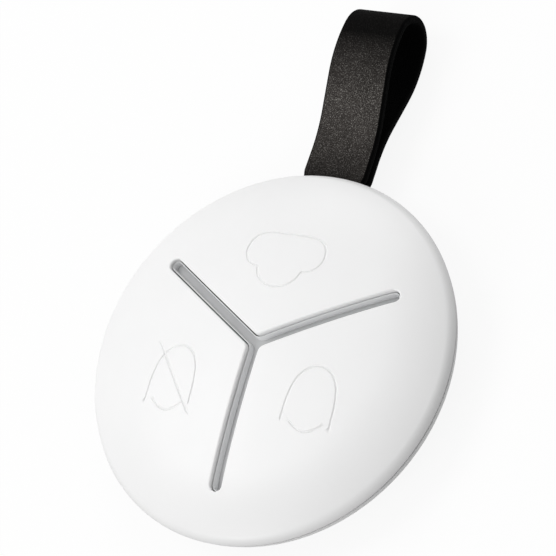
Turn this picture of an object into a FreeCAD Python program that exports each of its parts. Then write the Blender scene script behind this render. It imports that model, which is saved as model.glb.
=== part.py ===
"""Round alarm key fob: a domed white disc with three keys round a Y-shaped light strip, and a strap loop.

Frame: millimetres, +Z out of the front, +Y towards the strap, origin at the centre of the flat back.
"""
import FreeCAD, Part
import math
import os

from FreeCAD import Placement, Rotation, Vector

SIZES = [
    ("disc_radius", 30.0, "largest radius, at the parting plane"),
    ("dome_height", 7.0, "front dome above the parting plane"),
    ("crown_angle", 10.0, "slope where the dome's crown ends, in degrees"),
    ("shoulder_angle", 32.0, "slope where the dome's shoulder ends, in degrees"),
    ("rim_round", 2.2, "round of the dome's rim"),
    ("rear_depth", 5.5, "flat back to the parting plane"),
    ("rear_inset", 0.2, "rear rim inside the front rim"),
    ("rear_round", 10.0, "edge of the flat back to the rim"),
    ("front_wall", 1.5, "wall of the front cover and keys"),
    ("rear_wall", 1.4, "side wall of the rear cover"),
    ("rear_floor", 1.3, "floor of the rear cover"),
    ("reveal_height", 0.25, "shadow line at the parting plane"),
    ("reveal_depth", 0.5, "how deep the shadow line runs in"),
    ("slot_width", 2.0, "width of the Y slot between the keys"),
    ("slot_margin", 6.9, "closed end of each slot to the rim"),
    ("key_seam", 0.1, "seam between a key and the cover"),
    ("key_corner", 1.2, "round on a key's inner corner"),
    ("key_skirt_wall", 1.1, "skirt along a key's edges"),
    ("key_skirt_foot", 8.3, "height of the foot of a key's skirts"),
    ("guide_sunk", 1.8, "dome to the top of the light guide"),
    ("guide_gap", 0.15, "light guide to the slot's wall"),
    ("guide_foot", 6.5, "underside of the light guide"),
    ("guide_flange_width", 4.2, "foot flange of the light guide"),
    ("guide_flange_thickness", 0.7, "foot flange of the light guide"),
    ("guide_eye_wall", 0.8, "fork of the light guide round a boss"),
    ("guide_fork_reach", 1.5, "screw to the tips of the forks"),
    ("hinge_reach", 1.6, "edge of a key to its hinge pin"),
    ("hinge_height", 7.25, "height of the keys' hinge pins"),
    ("knuckle_radius", 0.75, "hinge barrel of a key"),
    ("knuckle_length", 8.0, "hinge barrel of a key"),
    ("pin_radius", 0.5, "hinge pins moulded on a key"),
    ("pin_length", 1.2, "one hinge pin"),
    ("pin_gap", 0.05, "running clearance round a hinge pin"),
    ("ear_thickness", 1.4, "cover's ear that holds a hinge pin"),
    ("ear_gap", 0.1, "end of the barrel to the ear"),
    ("ear_reach", 1.1, "ear to each side of the hinge axis"),
    ("arm_width", 6.0, "arm from a key to its barrel"),
    ("arm_thickness", 0.8, "arm from a key to its barrel"),
    ("stop_thickness", 0.6, "rib that stops a key's rise"),
    ("stop_gap", 0.06, "arm of the key to the rib above it"),
    ("switch_circle", 13.0, "axis of the fob to a key's switch"),
    ("post_radius", 1.2, "half the span of a key's cross-shaped post"),
    ("post_web", 0.7, "web of the cross-shaped post"),
    ("post_gap", 0.05, "post to the switch's button"),
    ("switch_side", 4.6, "tact switch body"),
    ("switch_height", 1.5, "tact switch body"),
    ("button_radius", 1.0, "tact switch button"),
    ("button_rise", 0.6, "button above its body"),
    ("button_travel", 0.3, "how far the button goes in"),
    ("button_gap", 0.06, "button to the hole in its body"),
    ("board_margin", 10.0, "edge of the circuit board to the rim"),
    ("board_thickness", 0.8, "circuit board"),
    ("board_height", 4.9, "underside of the circuit board"),
    ("board_screw_margin", 2.4, "board screw to the edge of the board"),
    ("board_screw_radius", 0.78, "shank of a board screw"),
    ("board_screw_head", 1.45, "head radius of a board screw"),
    ("board_screw_head_height", 0.8, "head of a board screw"),
    ("board_screw_length", 2.9, "board screw below the board"),
    ("board_post_radius", 1.8, "post under the circuit board"),
    ("cover_screw_reach", 2.4, "end of a slot's straight to a cover screw"),
    ("cover_screw_radius", 1.0, "shank of a cover screw"),
    ("cover_screw_head", 1.85, "head radius of a cover screw"),
    ("cover_screw_head_height", 1.1, "head of a cover screw"),
    ("cover_screw_seat", 2.4, "height of the seat under the head"),
    ("cover_screw_bite", 2.3, "cover screw inside the front cover"),
    ("cross_recess_width", 0.5, "cross recess of a screw head"),
    ("cover_boss_radius", 2.0, "boss of the front cover"),
    ("cover_boss_foot", 5.6, "foot of the front cover's boss"),
    ("cover_collar_radius", 2.35, "collar that clamps the light guide"),
    ("rear_boss_radius", 2.8, "boss of the rear cover"),
    ("screw_gap", 0.02, "screw shank to its pilot hole"),
    ("clear_gap", 0.1, "clearance between still pieces"),
    ("lip_margin", 2.05, "locating lip to the rim"),
    ("lip_wall", 0.55, "locating lip of the front cover"),
    ("lip_depth", 1.0, "locating lip below the parting plane"),
    ("lip_root", 0.5, "root of the lip above the parting plane"),
    ("cell_radius", 10.0, "coin cell"),
    ("cell_height", 3.2, "coin cell"),
    ("cell_cap_radius", 8.6, "raised cap of the coin cell"),
    ("cell_cap_rise", 0.25, "raised cap of the coin cell"),
    ("cell_gap", 0.05, "coin cell above the door"),
    ("door_radius", 12.8, "plate of the battery door"),
    ("door_plate", 0.9, "plate of the battery door"),
    ("door_sunk", 0.1, "door behind the flat back"),
    ("door_neck_radius", 11.2, "neck of the battery door"),
    ("door_cup_radius", 10.3, "inside of the door's cup"),
    ("door_neck_rise", 1.85, "neck above the door's plate"),
    ("door_lug_height", 0.7, "lugs at the top of the neck"),
    ("door_lug_reach", 12.2, "axis to the end of a lug"),
    ("door_lug_angle", 24.0, "width of a lug in degrees"),
    ("door_turn", 30.0, "turn that frees the door in degrees"),
    ("door_gap", 0.15, "neck and lugs to the rear cover"),
    ("door_angle_gap", 0.6, "lug to its notch and stops, in degrees"),
    ("ledge_gap", 0.05, "lugs above the ledge they hold"),
    ("stop_angle", 4.0, "rib that stops a lug, in degrees"),
    ("well_radius", 12.5, "inside of the battery well"),
    ("well_wall", 1.0, "wall of the battery well"),
    ("coin_slot_length", 15.0, "coin slot in the door"),
    ("coin_slot_width", 1.7, "coin slot in the door"),
    ("coin_slot_depth", 0.5, "coin slot in the door"),
    ("seal_radius", 0.28, "cord of the door's O-ring"),
    ("seal_seat", 0.55, "step in the door for the O-ring"),
    ("contact_thickness", 0.15, "battery contact springs"),
    ("contact_width", 4.0, "battery contact springs"),
    ("contact_gap", 0.05, "contact spring to the coin cell"),
    ("leaf_reach", 7.0, "axis to the soldered end of the leaf"),
    ("leaf_foot", 3.0, "soldered foot of the leaf"),
    ("leaf_pad", 1.0, "half the leaf's flat on the cell"),
    ("led_inner_circle", 5.0, "axis of the fob to the inner light sources"),
    ("led_outer_circle", 14.0, "axis of the fob to the outer light sources"),
    ("led_length", 1.6, "light source"),
    ("led_width", 0.8, "light source"),
    ("led_height", 0.6, "light source"),
    ("part_gap", 0.6, "battery well to the larger parts"),
    ("shield_length", 5.0, "radio shield"),
    ("shield_width", 6.4, "radio shield"),
    ("shield_height", 1.4, "radio shield"),
    ("chip_side", 5.0, "controller chip"),
    ("chip_height", 0.9, "controller chip"),
    ("crystal_length", 2.5, "crystal"),
    ("crystal_width", 3.2, "crystal"),
    ("crystal_height", 0.8, "crystal"),
    ("small_part_length", 1.0, "smallest parts of the board"),
    ("small_part_height", 0.35, "smallest parts of the board"),
    ("antenna_wire", 0.35, "radius of the antenna's wire"),
    ("antenna_margin", 1.3, "antenna to the edge of the board"),
    ("antenna_rise", 0.9, "antenna above the board"),
    ("antenna_angle", 62.0, "antenna from leg to leg in degrees"),
    ("strap_width", 10.0, "strap"),
    ("strap_thickness", 1.3, "strap"),
    ("strap_height", 3.95, "middle plane of the strap"),
    ("strap_reach", 58.3, "axis of the fob to the end of the loop"),
    ("strap_strand_gap", 0.2, "between the strands where they part"),
    ("strap_slit", 0.6, "parted strands before they bend"),
    ("strap_flare_angle", 18.0, "slope of the strands in degrees"),
    ("strap_flare_radius", 22.0, "bend where the strands part"),
    ("strap_belly_radius", 16.0, "bend at the widest of the loop"),
    ("strap_belly_angle", 12.0, "turn past the widest, in degrees"),
    ("strap_cap_radius", 4.1, "bend at the end of the loop"),
    ("bar_margin", 5.0, "strap bar to the rim"),
    ("bar_radius", 0.6, "strap bar"),
    ("bar_gap", 0.05, "strap round its bar"),
    ("bar_seat_gap", 0.02, "strap bar in its seats"),
    ("bar_seat", 1.9, "length of bar held at each end"),
    ("bar_block", 1.3, "seat block to each side of the bar"),
    ("mouth_side_gap", 0.35, "strap's edge to the mouth"),
    ("mouth_top_gap", 0.45, "strap's face to the mouth"),
    ("mouth_eye_gap", 0.15, "strap's eye to the hollow round it"),
]

doc = FreeCAD.newDocument("alarm_key_fob")
sheet = doc.addObject("Spreadsheet::Sheet", "sizes")
for row, (alias, value, meaning) in enumerate(SIZES, start=1):
    sheet.set(f"A{row}", meaning)
    sheet.set(f"B{row}", str(value))
    sheet.setAlias(f"B{row}", alias)
doc.recompute()


def size(alias):
    """The value of a named size in the sheet."""
    return float(sheet.get(alias))


UP = Vector(0, 0, 1)
OVER_X = Vector(1, 0, 0)
OVER_Y = Vector(0, 1, 0)
PARTING = size("rear_depth")
ABOVE = PARTING + size("dome_height") + size("front_wall")
FIRST_KEY = 90.0
KEY_AZIMUTHS = {name: FIRST_KEY + 120.0 * turn for turn, name in enumerate(("top", "left", "right"))}
SLOT_AZIMUTHS = tuple(azimuth - 60.0 for azimuth in KEY_AZIMUTHS.values())
BOARD_SCREW_AZIMUTHS = tuple(azimuth - 90.0 for azimuth in KEY_AZIMUTHS.values())
SMALL_PART_TURNS = (-42.0, -12.0, 78.0, 111.0, 138.0, 198.0, 231.0, 261.0)
SMALL_PART_AZIMUTHS = tuple(FIRST_KEY + turn for turn in SMALL_PART_TURNS)
SHIELD_AZIMUTH, CHIP_AZIMUTH, CRYSTAL_AZIMUTH = FIRST_KEY - 30.0, FIRST_KEY + 90.0, FIRST_KEY + 210.0
ANTENNA_AZIMUTH = FIRST_KEY + 72.0
SLOT_REACH = size("disc_radius") - size("slot_margin")
SLOT_END = SLOT_REACH - size("slot_width") / 2
KEY_RADIUS = SLOT_END - size("key_seam")
HINGE_CIRCLE = KEY_RADIUS + size("hinge_reach")
COVER_SCREW_CIRCLE = SLOT_END + size("cover_screw_reach")
REAR_FLAT = size("disc_radius") - size("rear_round")
LIP_OUTER = size("disc_radius") - size("lip_margin")
BAR_PLACE = size("disc_radius") - size("bar_margin")
BOARD_RADIUS = size("disc_radius") - size("board_margin")
BOARD_SCREW_CIRCLE = BOARD_RADIUS - size("board_screw_margin")
WELL_OUTER = size("well_radius") + size("well_wall")
BOARD_TOP = size("board_height") + size("board_thickness")
SWITCH_TOP = BOARD_TOP + size("switch_height")
BUTTON_TOP = SWITCH_TOP + size("button_rise")
FLANGE_TOP = size("guide_foot") + size("guide_flange_thickness")
DOOR_TOP = size("door_sunk") + size("door_plate")
NECK_TOP = DOOR_TOP + size("door_neck_rise")
LEDGE_TOP = NECK_TOP - size("door_lug_height") - size("ledge_gap")
CELL_FOOT = DOOR_TOP + size("cell_gap")
CELL_TOP = CELL_FOOT + size("cell_height")
HALF_MOUTH = size("strap_width") / 2 + size("mouth_side_gap")
HALF_ROOT = size("strap_thickness") + size("strap_strand_gap") / 2
STRAP_EYE = size("bar_radius") + size("bar_gap") + size("strap_thickness")
finished = {}


def polar(radius, degrees, height=0.0):
    """A point at that radius and azimuth."""
    angle = math.radians(degrees)
    return Vector(radius * math.cos(angle), radius * math.sin(angle), height)


def dome_arcs(inset=0.0):
    """The dome's profile, set in by a wall: centre, radius and last slope of its crown, shoulder and rim."""
    wide, tall, rim = size("disc_radius"), size("dome_height"), size("rim_round")
    first, second = math.radians(size("crown_angle")), math.radians(size("shoulder_angle"))
    across = wide - rim * (1 - math.sin(second))
    up = tall - rim * math.cos(second)
    sine, cosine = math.sin(second) - math.sin(first), math.cos(first) - math.cos(second)
    share = math.sin(first) * cosine - sine * (1 - math.cos(first))
    crown = (across * cosine - up * sine) / share
    shoulder = (math.sin(first) * up - (1 - math.cos(first)) * across) / share
    step = Vector(math.sin(first), math.cos(first), 0) * (crown - shoulder)
    middle = Vector(0, PARTING + tall - crown, 0)
    return [
        (middle, crown - inset, first),
        (middle + step, shoulder - inset, second),
        (Vector(wide - rim, PARTING, 0), rim - inset, math.pi / 2),
    ]


def dome_z(radius, inset=0.0):
    """Height of the dome, set in by a wall, at a radius."""
    for middle, bend, slope in dome_arcs(inset):
        if radius <= middle.x + bend * math.sin(slope):
            break
    return middle.y + math.sqrt(bend**2 - (radius - middle.x) ** 2)


def finish(obj, label):
    """Keep a finished sub-part under the name of its file."""
    obj.Label = label
    finished[label] = obj


def spun(azimuth):
    """The turn about the fob's axis to an azimuth."""
    return Rotation(UP, azimuth)


def block(name, sides, corner, azimuth=0.0):
    """A box of three formulas; its corner is given as it lies before the turn to its azimuth."""
    obj = doc.addObject("Part::Box", name)
    for side, formula in zip(("Length", "Width", "Height"), sides):
        obj.setExpression(side, str(formula))
    obj.Placement = Placement(spun(azimuth).multVec(Vector(*corner)), spun(azimuth))
    return obj


def rod(name, radius, length, foot, azimuth=0.0, along=UP):
    """A cylinder of two formulas; foot and direction are given before the turn to its azimuth."""
    obj = doc.addObject("Part::Cylinder", name)
    obj.setExpression("Radius", str(radius))
    obj.setExpression("Height", str(length))
    lean = Rotation(UP, along)
    obj.Placement = Placement(spun(azimuth).multVec(Vector(*foot)), spun(azimuth).multiply(lean))
    return obj


def dome(name, inset=0.0, foot=None, azimuth=0.0):
    """The solid under the dome, set in by a wall, down to a foot, with its seam at an azimuth."""
    foot = PARTING if foot is None else foot
    geometry, slope_before = [], 0.0
    for middle, bend, slope in dome_arcs(inset):
        sweep = (math.pi / 2 - slope, math.pi / 2 - slope_before)
        geometry.append(Part.ArcOfCircle(ring(middle.x, middle.y, bend), *sweep))
        slope_before = slope
    rim = size("disc_radius") - inset
    corners = [(rim, PARTING), (rim, foot), (0, foot), (0, dome_z(0, inset))]
    obj = turned(name, geometry + lines(corners if foot < PARTING else corners[1:]))
    obj.Placement = Placement(Vector(0, 0, 0), spun(azimuth))
    return obj


def joined(name, parts):
    """One solid, or a group of separate ones, from several."""
    obj = doc.addObject("Part::MultiFuse", name)
    obj.Shapes = parts
    return obj


def shared(name, first, second):
    """What two solids have in common."""
    obj = doc.addObject("Part::Common", name)
    obj.Base = first
    obj.Tool = second
    return obj


def cut(name, base, tool):
    """A solid less another."""
    obj = doc.addObject("Part::Cut", name)
    obj.Base = base
    obj.Tool = tool
    return obj


def sketched(name, geometry, placement):
    """A sketch of closed outlines."""
    obj = doc.addObject("Sketcher::SketchObject", name)
    obj.Placement = placement
    obj.addGeometry(geometry, False)
    return obj


def prism(name, geometry, foot, length, azimuth=0.0):
    """An upright prism on an outline drawn along +X; its foot is a height, and its length a formula."""
    obj = doc.addObject("Part::Extrusion", name)
    obj.Base = sketched(name + "_outline", geometry, Placement(Vector(0, 0, foot), spun(azimuth)))
    obj.DirMode = "Custom"
    obj.Dir = UP
    obj.Solid = True
    obj.setExpression("LengthFwd", str(length))
    return obj


def bar_prism(name, geometry, width):
    """A prism to both sides of the YZ plane on an outline in it; its width is a formula."""
    across = Rotation(OVER_Y, UP, OVER_X, "ZXY")
    obj = doc.addObject("Part::Extrusion", name)
    obj.Base = sketched(name + "_outline", geometry, Placement(Vector(), across))
    obj.DirMode = "Custom"
    obj.Dir = OVER_X
    obj.Solid = True
    obj.Symmetric = True
    obj.setExpression("LengthFwd", str(width))
    return obj


def turned(name, geometry):
    """A full revolution about the fob's axis of a profile in the XZ plane."""
    body = doc.addObject("PartDesign::Body", name)
    profile = body.newObject("Sketcher::SketchObject", name + "_profile")
    plane = next(f for f in body.Origin.OriginFeatures if f.Role == "XZ_Plane")
    profile.AttachmentSupport = [(plane, "")]
    profile.MapMode = "FlatFace"
    profile.addGeometry(geometry, False)
    doc.recompute()
    turn = body.newObject("PartDesign::Revolution", name + "_turn")
    turn.Profile = profile
    turn.ReferenceAxis = (profile, ["V_Axis"])
    turn.Angle = 360.0
    return body


def lines(points):
    """A chain of straight lines."""
    ends = [Vector(x, y, 0) for x, y in points]
    return [Part.LineSegment(a, b) for a, b in zip(ends, ends[1:])]


def outline(points):
    """A closed chain of straight lines."""
    return lines(list(points) + [points[0]])


def ring(x, y, radius):
    """A circle in the sketch plane, as the curve that its arcs are cut from."""
    return Part.Circle(Vector(x, y, 0), UP, radius)


def oval_arc(centre_x, centre_y, half_width, half_height, start, end):
    """An arc of a lying ellipse, from one point angle to another, in degrees."""
    centre = Vector(centre_x, centre_y, 0)
    major = Vector(centre_x + half_width, centre_y, 0)
    minor = Vector(centre_x, centre_y + half_height, 0)
    oval = Part.Ellipse(major, minor, centre)
    return Part.ArcOfEllipse(oval, math.radians(start), math.radians(end))


def ring_sector(inner, outer, start, end):
    """A piece of a ring between two azimuths."""
    sweep = (math.radians(start), math.radians(end))
    arcs = [Part.ArcOfCircle(ring(0, 0, radius), *sweep) for radius in (inner, outer)]
    return arcs + [Part.LineSegment(polar(inner, a), polar(outer, a)) for a in (start, end)]


def wedge(inset, outer):
    """One key seen from above, along +X: a third of a disc, set in from the slots, its inner corner round."""
    half_angle = math.radians(60.0)
    gap = size("slot_width") / 2 + inset
    corner = size("key_corner")
    side = Vector(math.cos(half_angle), math.sin(half_angle), 0)
    apex = Vector(gap / math.sin(half_angle), 0, 0)
    centre = apex + Vector(corner / math.sin(half_angle), 0, 0)
    near = apex + side * (corner / math.tan(half_angle))
    far = apex + side * (math.sqrt(outer**2 - gap**2) - gap / math.tan(half_angle))
    reach = math.atan2(far.y, far.x)
    turn_in = math.pi / 2 + half_angle
    return [
        Part.ArcOfCircle(ring(centre.x, 0, corner), turn_in, 2 * math.pi - turn_in),
        Part.LineSegment(near, far),
        Part.LineSegment(Vector(near.x, -near.y, 0), Vector(far.x, -far.y, 0)),
        Part.ArcOfCircle(ring(0, 0, outer), -reach, reach),
    ]


def star(half_width, reach):
    """A three-armed strip along the slots, with round ends."""
    inner = half_width / math.sin(math.radians(60.0))
    geometry = []
    for azimuth in SLOT_AZIMUTHS:
        end = polar(reach - half_width, azimuth)
        across = polar(half_width, azimuth + 90)
        turn_from = math.radians(azimuth - 90)
        geometry.append(Part.ArcOfCircle(ring(end.x, end.y, half_width), turn_from, turn_from + math.pi))
        geometry.append(Part.LineSegment(polar(inner, azimuth + 60), end + across))
        geometry.append(Part.LineSegment(polar(inner, azimuth - 60), end - across))
    return geometry


def front_ring():
    """The dome's outer ring with its locating lip."""
    tall = ABOVE - PARTING
    middle = rod("ring_middle", SLOT_END, tall, (0, 0, PARTING))
    ring_solid = cut("ring_solid", dome("ring_face"), middle)
    ring_shell = cut("ring_shell", ring_solid, dome("ring_roof", size("front_wall")))
    lip_out = LIP_OUTER
    lip_in = lip_out - size("lip_wall")
    foot, top = PARTING - size("lip_depth"), PARTING + size("lip_root")
    in_wall = size("disc_radius") - size("front_wall") / 2
    corners = [(lip_in, foot), (lip_out, foot), (lip_out, PARTING), (in_wall, PARTING), (in_wall, top)]
    return [ring_shell, turned("ring_lip", outline(corners + [(lip_in, top)]))]


def boss_fittings():
    """The front cover's screw bosses, and the collars that clamp the light guide."""
    place = COVER_SCREW_CIRCLE
    collar_foot = FLANGE_TOP + size("ledge_gap")
    parts = []
    for azimuth in SLOT_AZIMUTHS:
        tall = f"{ABOVE} - sizes.cover_boss_foot"
        foot = (place, 0, size("cover_boss_foot"))
        parts.append(rod("screw_boss", "sizes.cover_boss_radius", tall, foot, azimuth))
        foot = (place, 0, collar_foot)
        parts.append(rod("guide_collar", "sizes.cover_collar_radius", ABOVE - collar_foot, foot, azimuth))
    return parts


def hinge_fittings():
    """The front cover's hinge ears and the ribs that stop the keys' rise."""
    hinge, reach = HINGE_CIRCLE, size("ear_reach")
    ear_in = size("knuckle_length") / 2 + size("ear_gap")
    ear_foot = size("hinge_height") - size("knuckle_radius")
    stop_foot = size("hinge_height") + size("arm_thickness") / 2 + size("stop_gap")
    stop_out = hinge - size("knuckle_radius") - size("stop_gap")
    ear = ("2 * sizes.ear_reach", "sizes.ear_thickness", ABOVE - ear_foot)
    stop = ("sizes.stop_thickness", "sizes.arm_width", ABOVE - stop_foot)
    stop_corner = (stop_out - size("stop_thickness"), -size("arm_width") / 2, stop_foot)
    parts = []
    for azimuth in KEY_AZIMUTHS.values():
        for side in (ear_in, -ear_in - size("ear_thickness")):
            parts.append(block("hinge_ear", ear, (hinge - reach, side, ear_foot), azimuth))
        parts.append(block("key_stop", stop, stop_corner, azimuth))
    return parts


def bar_keepers():
    """The ribs of the front cover that hold the strap's bar down in its seats."""
    foot = size("strap_height") + size("bar_radius") + size("bar_seat_gap")
    inner = HALF_MOUTH + size("mouth_side_gap")
    length = size("bar_seat") - 2 * size("mouth_side_gap")
    sides = (length, "2 * sizes.bar_radius", ABOVE - foot)
    near = BAR_PLACE - size("bar_radius")
    return [block("bar_keeper", sides, (x, near, foot)) for x in (inner, -inner - length)]


def cover_cutters():
    """What is cut from the front cover: slot ends, screw and pin holes, and the strap's way out."""
    parts = []
    for azimuth in SLOT_AZIMUTHS:
        foot = (SLOT_END, 0, FLANGE_TOP)
        parts.append(rod("slot_end", "sizes.slot_width / 2", ABOVE - FLANGE_TOP, foot, azimuth))
        pilot = "sizes.cover_screw_radius + sizes.screw_gap"
        depth = "sizes.cover_screw_bite + sizes.clear_gap"
        foot = (COVER_SCREW_CIRCLE, 0, size("cover_boss_foot"))
        parts.append(rod("screw_pilot", pilot, depth, foot, azimuth))
    half_span = size("knuckle_length") / 2 + size("ear_gap") + size("ear_thickness")
    for azimuth in KEY_AZIMUTHS.values():
        foot = (HINGE_CIRCLE, -half_span, size("hinge_height"))
        hole = "sizes.pin_radius + sizes.pin_gap"
        parts.append(rod("pin_hole", hole, 2 * half_span, foot, azimuth, OVER_Y))
    seat_out = HALF_MOUTH + size("bar_seat") + 2 * size("mouth_side_gap")
    foot = PARTING - 2 * size("lip_depth")
    near = BAR_PLACE + size("bar_block")
    depth = "sizes.bar_margin"
    parts.append(block("lip_gap", (2 * seat_out, depth, PARTING - foot), (-seat_out, near, foot)))
    roof = size("strap_height") + HALF_ROOT + size("mouth_top_gap")
    parts.append(block("strap_relief", (2 * HALF_MOUTH, depth, roof - foot), (-HALF_MOUTH, near, foot)))
    return joined("cover_cutters", parts)


def make_front_cover():
    """The fixed outer ring of the front, with all that hangs under it."""
    fittings = joined("front_fittings", boss_fittings() + hinge_fittings() + bar_keepers())
    limit = dome("fitting_limit", size("front_wall") / 2, size("strap_height"))
    trimmed = shared("trimmed_fittings", fittings, limit)
    blank = joined("front_blank", front_ring() + [trimmed])
    finish(cut("front_cover_cut", blank, cover_cutters()), "front_cover")


def key_shell(azimuth):
    """A key's domed wall with its skirts."""
    foot, wall = size("key_skirt_foot"), size("key_skirt_wall")
    plan = prism("key_plan", wedge(0, KEY_RADIUS), foot, ABOVE - foot, azimuth)
    hollow_plan = prism("hollow_plan", wedge(wall, KEY_RADIUS - wall), foot, ABOVE - foot, azimuth)
    form = shared("key_form", plan, dome("key_face", azimuth=azimuth))
    hollow = shared("key_hollow", hollow_plan, dome("key_roof", size("front_wall"), azimuth=azimuth))
    return cut("key_shell", form, hollow)


def key_post(azimuth):
    """The cross-shaped post that pushes a key's switch."""
    place, span, web = size("switch_circle"), size("post_radius"), size("post_web") / 2
    foot = BUTTON_TOP + size("post_gap")
    tall = dome_z(place + span, size("front_wall") / 2) - foot
    long_way = ("2 * sizes.post_radius", "sizes.post_web", tall)
    short_way = ("sizes.post_web", "2 * sizes.post_radius", tall)
    return [
        block("post_web", long_way, (place - span, -web, foot), azimuth),
        block("post_rib", short_way, (place - web, -span, foot), azimuth),
    ]


def key_hinge(azimuth):
    """A key's arm down to its hinge barrel, with the pin at each end."""
    half = size("arm_width") / 2
    arm_in = KEY_RADIUS - size("key_skirt_wall")
    arm_z = size("hinge_height") - size("arm_thickness") / 2
    leg_out = math.sqrt(KEY_RADIUS**2 - half**2) - size("clear_gap")
    leg_top = size("key_skirt_foot") + size("arm_thickness") / 2
    arm = (HINGE_CIRCLE - arm_in, "sizes.arm_width", "sizes.arm_thickness")
    leg = (leg_out - arm_in, "sizes.arm_width", leg_top - arm_z)
    corner = (arm_in, -half, arm_z)
    hinge, height = HINGE_CIRCLE, size("hinge_height")
    barrel_end = -size("knuckle_length") / 2
    pin_end = barrel_end - size("pin_length")
    barrel = "sizes.knuckle_length"
    pins = "sizes.knuckle_length + 2 * sizes.pin_length"
    return [
        block("key_arm", arm, corner, azimuth),
        block("key_leg", leg, corner, azimuth),
        rod("key_barrel", "sizes.knuckle_radius", barrel, (hinge, barrel_end, height), azimuth, OVER_Y),
        rod("key_pins", "sizes.pin_radius", pins, (hinge, pin_end, height), azimuth, OVER_Y),
    ]


def make_keys():
    """The three keys."""
    for name, azimuth in KEY_AZIMUTHS.items():
        parts = [key_shell(azimuth)] + key_post(azimuth) + key_hinge(azimuth)
        finish(joined(f"key_{name}_solid", parts), "key_" + name)


def make_light_guide():
    """The Y-shaped light guide: a strip sunk in the slots on a flange that forks round the bosses."""
    gap, foot, place = size("guide_gap"), size("guide_foot"), COVER_SCREW_CIRCLE
    thick = "sizes.guide_flange_thickness"
    strip_line = star(size("slot_width") / 2 - gap, SLOT_REACH - gap)
    plan = prism("strip_plan", strip_line, foot, ABOVE - foot)
    strip = shared("guide_strip", plan, dome("strip_top", size("guide_sunk")))
    boss_way = "sizes.cover_boss_radius + sizes.clear_gap"
    arms = [prism("flange_plan", star(size("guide_flange_width") / 2, place), foot, thick)]
    holes = []
    for azimuth in SLOT_AZIMUTHS:
        arms.append(rod("guide_eye", boss_way + " + sizes.guide_eye_wall", thick, (place, 0, foot), azimuth))
        holes.append(rod("boss_way", boss_way, thick, (place, 0, foot), azimuth))
    limit = rod("fork_limit", place + size("guide_fork_reach"), thick, (0, 0, foot))
    flange = shared("guide_flange", joined("flange_arms", arms), limit)
    blank = joined("guide_blank", [strip, flange])
    finish(cut("light_guide_cut", blank, joined("boss_ways", holes)), "light_guide")


def rear_shell():
    """The rear cover's shell with its battery well, ledge and recess."""
    flat, floor = REAR_FLAT, size("rear_floor")
    half_width = size("disc_radius") - size("rear_inset") - flat
    reveal_angle = -math.asin(size("reveal_height") / PARTING)
    reveal_z = PARTING - size("reveal_height")
    rim_in = flat + half_width - size("reveal_depth")
    wall_in = flat + half_width - size("rear_wall")
    recess = size("door_radius") + size("clear_gap")
    recess_top = DOOR_TOP + size("clear_gap")
    ledge_in = size("door_neck_radius") + size("door_gap")
    well_in = size("well_radius")
    well_top = size("board_height") - size("clear_gap")
    profile = [
        oval_arc(flat, PARTING, half_width, PARTING, -90, math.degrees(reveal_angle)),
        oval_arc(flat, PARTING, half_width - size("rear_wall"), PARTING - floor, -90, 0),
    ]
    rim = flat + half_width * math.cos(reveal_angle)
    profile += lines([(rim, reveal_z), (rim_in, reveal_z), (rim_in, PARTING), (wall_in, PARTING)])
    profile += lines(
        [
            (flat, floor),
            (WELL_OUTER, floor),
            (WELL_OUTER, well_top),
            (well_in, well_top),
            (well_in, LEDGE_TOP),
            (ledge_in, LEDGE_TOP),
            (ledge_in, recess_top),
            (recess, recess_top),
            (recess, 0),
            (flat, 0),
        ]
    )
    return turned("rear_shell", profile)


def rear_limit():
    """The solid inside the middle of the rear cover's wall, and all above it."""
    flat, half_wall, half_floor = REAR_FLAT, size("rear_wall") / 2, size("rear_floor") / 2
    half_width = size("disc_radius") - size("rear_inset") - flat - half_wall
    rim = flat + half_width
    profile = [oval_arc(flat, PARTING, half_width, PARTING - half_floor, -90, 0)]
    profile += lines([(rim, PARTING), (rim, ABOVE), (0, ABOVE), (0, half_floor), (flat, half_floor)])
    return turned("rear_limit", profile)


def rear_fittings():
    """What stands in the rear cover: screw bosses, board posts, the bar's seats and the door's stops."""
    parts = []
    for azimuth in SLOT_AZIMUTHS:
        foot = (COVER_SCREW_CIRCLE, 0, 0)
        parts.append(rod("rear_boss", "sizes.rear_boss_radius", "sizes.guide_foot", foot, azimuth))
    for azimuth in BOARD_SCREW_AZIMUTHS:
        foot = (BOARD_SCREW_CIRCLE, 0, 0)
        parts.append(rod("board_post", "sizes.board_post_radius", "sizes.board_height", foot, azimuth))
    length = size("bar_seat") + size("mouth_side_gap")
    seat = (length, "2 * sizes.bar_block", "sizes.rear_depth - sizes.clear_gap")
    for corner_x in (HALF_MOUTH, -HALF_MOUTH - length):
        parts.append(block("bar_seat", seat, (corner_x, BAR_PLACE - size("bar_block"), 0)))
    stop_in = size("door_neck_radius") + size("door_gap")
    stop_out = size("well_radius") + size("well_wall") / 2
    half_lug = size("door_lug_angle") / 2 + size("door_angle_gap")
    foot = LEDGE_TOP - size("clear_gap")
    for azimuth in KEY_AZIMUTHS.values():
        closed = azimuth + half_lug
        opened = azimuth - size("door_turn") - half_lug - size("stop_angle")
        for start in (closed, opened):
            plan = ring_sector(stop_in, stop_out, start, start + size("stop_angle"))
            parts.append(prism("lug_stop", plan, foot, "sizes.door_lug_height"))
    return shared("rear_trimmed", joined("rear_fitting_group", parts), rear_limit())


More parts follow.
